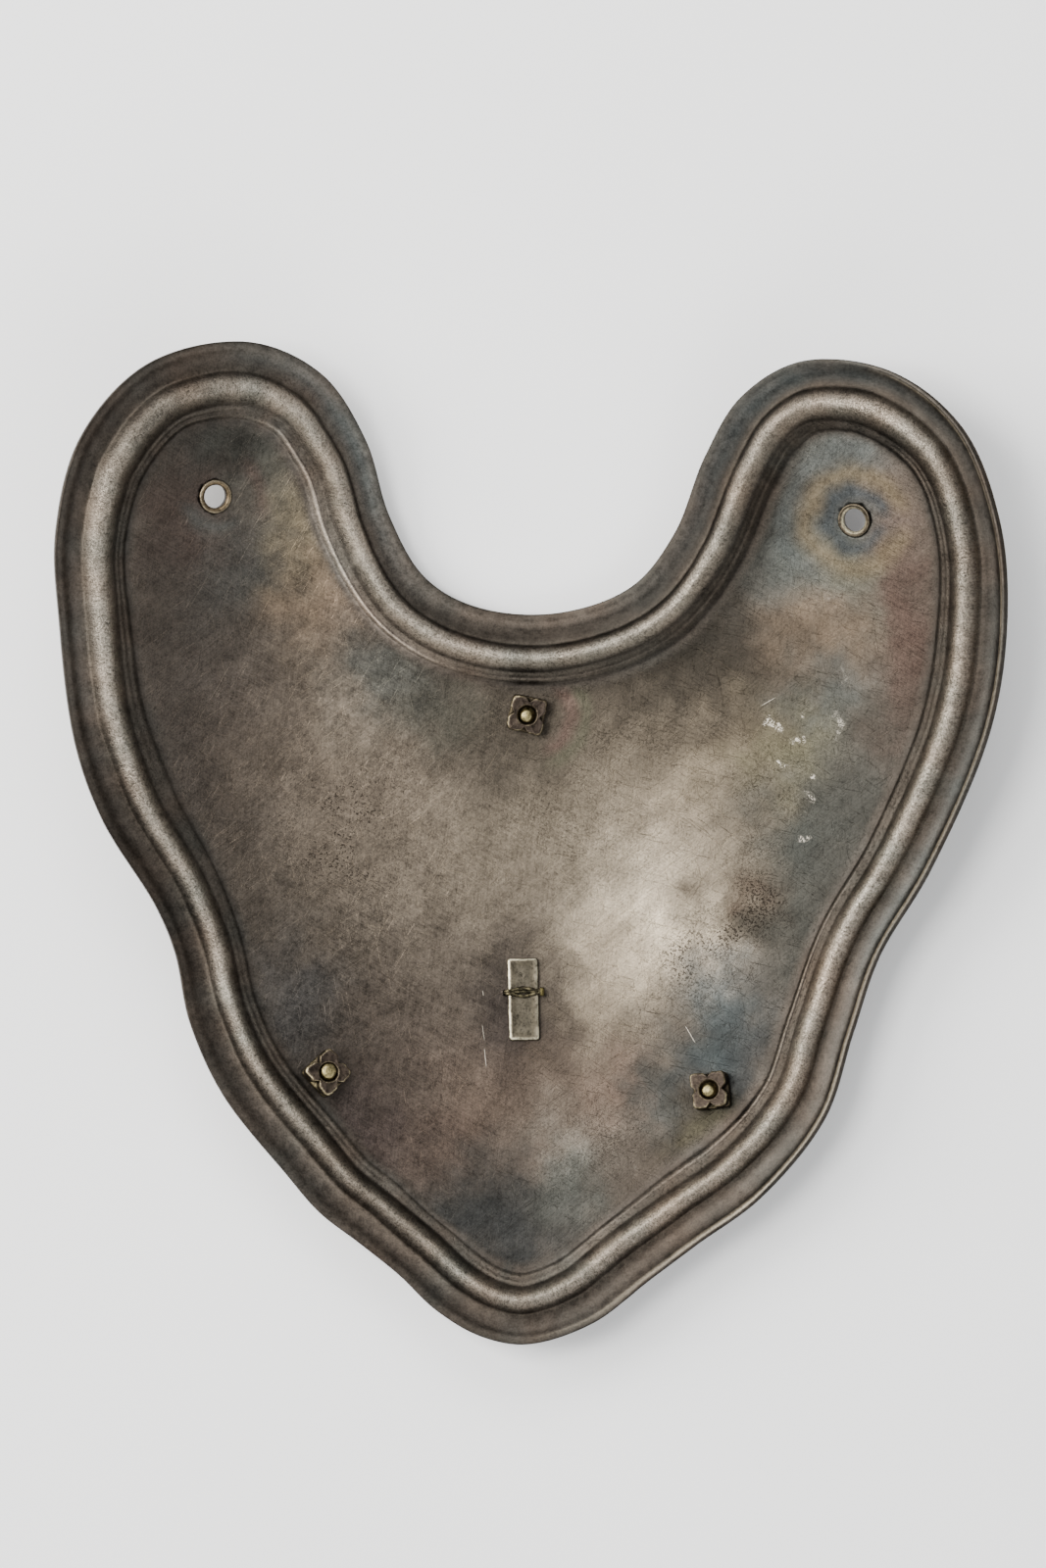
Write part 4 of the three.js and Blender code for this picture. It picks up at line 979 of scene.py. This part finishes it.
def rounded_rectangle(half_x, half_y, corner, height, count=200):
    loop = []
    for sx, sy, start in ((1, -1, -90), (1, 1, 0), (-1, 1, 90), (-1, -1, 180)):
        for k in range(7):
            angle = math.radians(start + 15 * k)
            loop.append((sx * (half_x - corner) + corner * math.cos(angle),
                         sy * (half_y - corner) + corner * math.sin(angle)))
    loop = np.array(loop + loop[:1])
    length = np.concatenate([[0], np.cumsum(np.linalg.norm(np.diff(loop, axis=0), axis=1))])
    at = np.linspace(0, length[-1], count, endpoint=False)
    return columns(*(np.interp(at, length, column) for column in loop.T), height + 0 * at)


# inset, height, colour; the pale bevel rows are painted highlight
BAR_ROWS = [
    (0.12, 0.3, "26221c"), (0, 0.45, "3a352c"), (0, 1.05, "857e6b"), (0.08, 1.25, "c4bb9f"),
    (0.24, 1.37, "d4cbb0"), (0.4, 1.4, "8f8672"), (0.65, 1.38, "524c41"), (1.1, 1.36, "484338"),
    (1.6, 1.35, "4c473d"), (2.1, 1.35, "4c473d"), (2.6, 1.35, "4c473d"),
]


def build_bar(material):
    rings, colours = [], []
    for inset, height, code in BAR_ROWS:
        ring = rounded_rectangle(BAR_WIDTH / 2 - inset, BAR_LENGTH / 2 - inset,
                                 max(BAR_CORNER - 0.6 * inset, 0.05), height)
        if height > 0.4:
            ring[:, :2] += 0.09 * columns(noises(ring, 2.5, 121), noises(ring, 2.5, 122))
        # the bevel brighter toward the left, as painted highlight where the light falls
        left = np.clip(0.5 - ring[:, 0] / BAR_WIDTH, 0, 1)[:, None]
        bright = linear(code) * (0.75 + 0.4 * left) if 0.05 < inset < 0.6 else linear(code)
        rings.append(ring)
        colours.append(bright * (1 + 0.5 * noises(ring, 1.6, 123)[:, None]))
    colours += [linear("26221c")[None], linear("4c473d")[None]]
    fix("clip_bar", "bar_metal", BAR_FRAME, *loft(rings, (0, 0, 0.3), (0, 0, 1.35)), colours, 0.8,
        material)


# spread of the middle, spread at the ends, radius, lift
STRANDS = [(-0.72, -0.2, 0.34, 0), (0.72, 0.2, 0.34, 0), (0.05, 0, 0.24, 0.08)]
STAPLE_BEND = 0.55
# The block at the staple's right end: inset, height
BLOCK_ROWS = [(0.05, 1.2), (0, 1.4), (0, 2.05), (0.1, 2.2), (0.25, 2.25)]


def build_staple(material):
    """Wire strands over the bar, pinched at both ends, with legs and a block on the right."""
    corner_x, corner_z = -STAPLE_REACH + STAPLE_BEND, STAPLE_TOP - STAPLE_BEND
    path = [(-STAPLE_REACH, z) for z in np.linspace(-0.45, corner_z, 5)]
    for k in range(1, 6):
        angle = math.radians(180 - 18 * k)
        path.append((
            corner_x + STAPLE_BEND * math.cos(angle), corner_z + STAPLE_BEND * math.sin(angle)))
    path += [(x, STAPLE_TOP) for x in np.linspace(corner_x, 0, 10)[1:]]
    path += [(-x, z) for x, z in path[-2::-1]]
    turns = np.linspace(0, 2 * math.pi, 14, endpoint=False)
    points, faces, colours, count = [], [], [], 0

    def add(shape, shape_faces):
        nonlocal count
        points.append(shape)
        faces.extend(tuple(v + count for v in face) for face in shape_faces)
        count += len(shape)

    for number, (spread, ends, radius, lift) in enumerate(STRANDS):
        rings = []
        for (x, z), (rx, rz) in zip(path, unit(np.gradient(np.array(path), axis=0))):
            open_by = math.cos(min(abs(x) / 2.9, 1) * math.pi / 2) ** 2
            side = STAPLE_ABOVE + ends + (spread - ends) * open_by
            out, across = radius * np.cos(turns), radius * np.sin(turns)
            rings.append(columns(x - rz * out, side + across, z + rx * out + lift * open_by))
        strand, strand_faces = loft(rings, rings[0].mean(0), rings[-1].mean(0))
        strand[:, 1:] += 0.05 * columns(noises(strand, 0.8, 131), noises(strand, 0.8, 132))
        add(strand, strand_faces)
        # pale only on the strands' tops: partly wear and partly painted glint
        wear_and_glint = np.clip(0.2 + 0.9 * noises(strand, 0.7, 133 + number), 0, 1)
        wear_and_glint = wear_and_glint * (strand[:, 2] > STAPLE_TOP)
        colours.append(toward(linear("2b271e"), linear("8a8062"), wear_and_glint))
    block, block_faces = loft([rounded_rectangle(0.42 - inset, 0.8 - inset, 0.2, z, 40)
                               for inset, z in BLOCK_ROWS], (0, 0, 1.2), (0, 0, 2.25))
    add(block + [STAPLE_REACH, STAPLE_ABOVE, 0], block_faces)
    colours.append(np.tile(linear("4a4329"), (len(block), 1)))
    fix("clip_staple", "staple_wire", BAR_FRAME, np.concatenate(points), faces, colours, 0.8,
        material)


def dress():
    """Every piece in place of its solid."""
    points, faces, *places = build_plate()
    plate = mesh_object("gorget_plate_detail", (points + SHIFT) * MM, faces)
    for name, values in paint(points, *places).items():
        attribute(plate.data, name, values, "FLOAT_VECTOR" if name == "strip" else "FLOAT_COLOR")
    plate.data.materials.append(plate_material())
    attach(plate, "root")
    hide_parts("gorget_plate")
    nut_steel = small_metal("nut_steel", 700, (0.35, 0.55), 0.00008, 0.5)
    brass = small_metal("stud_brass", 900, (0.28, 0.5), 0.00006, 0.5)
    for side in STUDS:
        build_nut(side, nut_steel)
        build_stud(side, brass)
    eyelet_steel = small_metal("eyelet_steel", 1200, (0.3, 0.5), 0.00005, 0.6)
    for side in EYELETS:
        build_eyelet(side, eyelet_steel)
    build_bar(small_metal("bar_metal", 600, (0.32, 0.5), 0.00003, 0.5, 0.2))
    build_staple(small_metal("staple_wire", 1200, (0.3, 0.5), 0.00004, 0.3))


# Floor, lights and camera


def floor():
    obj = mesh_object("floor", [(-3, -3, 0), (3, -3, 0), (3, 3, 0), (-3, 3, 0)], [(0, 1, 2, 3)])
    n = Nodes("pale_floor")
    tone = n.span(n.noise(n.place(), 8, 2), 0.3, 0.7, 0.92, 0.94)
    obj.data.materials.append(n.finish(n.grey(tone), 0.7, metallic=0.0))


def lamp(name, place_at, size, power, colour=(1, 1, 1)):
    data = bpy.data.lights.new(name, "AREA")
    data.shape, data.size, data.size_y = "RECTANGLE", size[0], size[1]
    data.energy, data.color = power, colour
    obj = bpy.data.objects.new(name, data)
    bpy.context.collection.objects.link(obj)
    obj.location = place_at
    obj.rotation_euler = (-Vector(place_at)).to_track_quat("-Z", "Y").to_euler()


def studio():
    floor()
    lamp("key", (-0.46, 0.18, 1.42), (0.45, 0.45), 17, (1.0, 0.99, 0.97))
    lamp("left", (-1.1, 0.3, 0.8), (0.8, 1.0), 26, (1.0, 0.98, 0.95))
    lamp("top", (-0.2, 1.1, 1.2), (1.0, 0.7), 14)
    lamp("fill", (1.2, -0.5, 1.0), (1.0, 1.0), 7, (0.95, 0.97, 1.0))
    lamp("low", (0.1, -1.3, 0.95), (1.4, 0.8), 10, (1.0, 0.99, 0.97))
    world = bpy.data.worlds.new("studio")
    world.use_nodes = True
    background = world.node_tree.nodes["Background"].inputs
    background[0].default_value, background[1].default_value = (0.93, 0.95, 0.97, 1), 0.6
    bpy.context.scene.world = world


PHOTO_WIDTH, PHOTO_HEIGHT = 1067, 1600
PLATE_LEFT, PLATE_RIGHT = 57, 1026  # pixels of the photo, for the scale
MIDDLE_ACROSS, MIDDLE_DOWN = 541.5, 861
LENS, SENSOR, PLANE = 300.0, 36.0, 0.02


def look():
    """The photo's view, straight down, with the plate's edge as large as in the photo."""
    pixel = PLATE_WIDTH / (PLATE_RIGHT - PLATE_LEFT) * MM
    data = bpy.data.cameras.new("camera")
    data.lens, data.sensor_width, data.clip_start, data.clip_end = LENS, SENSOR, 0.1, 20
    camera = bpy.data.objects.new("camera", data)
    bpy.context.collection.objects.link(camera)
    camera.location = (
        (PHOTO_WIDTH / 2 - MIDDLE_ACROSS) * pixel, (MIDDLE_DOWN - PHOTO_HEIGHT / 2) * pixel,
        PLANE + PHOTO_HEIGHT * pixel * LENS / SENSOR)
    bpy.context.scene.camera = camera


for name in ("Cube", "Light", "Camera"):
    if name in bpy.data.objects:
        bpy.data.objects.remove(bpy.data.objects[name])
dress()
studio()
look()
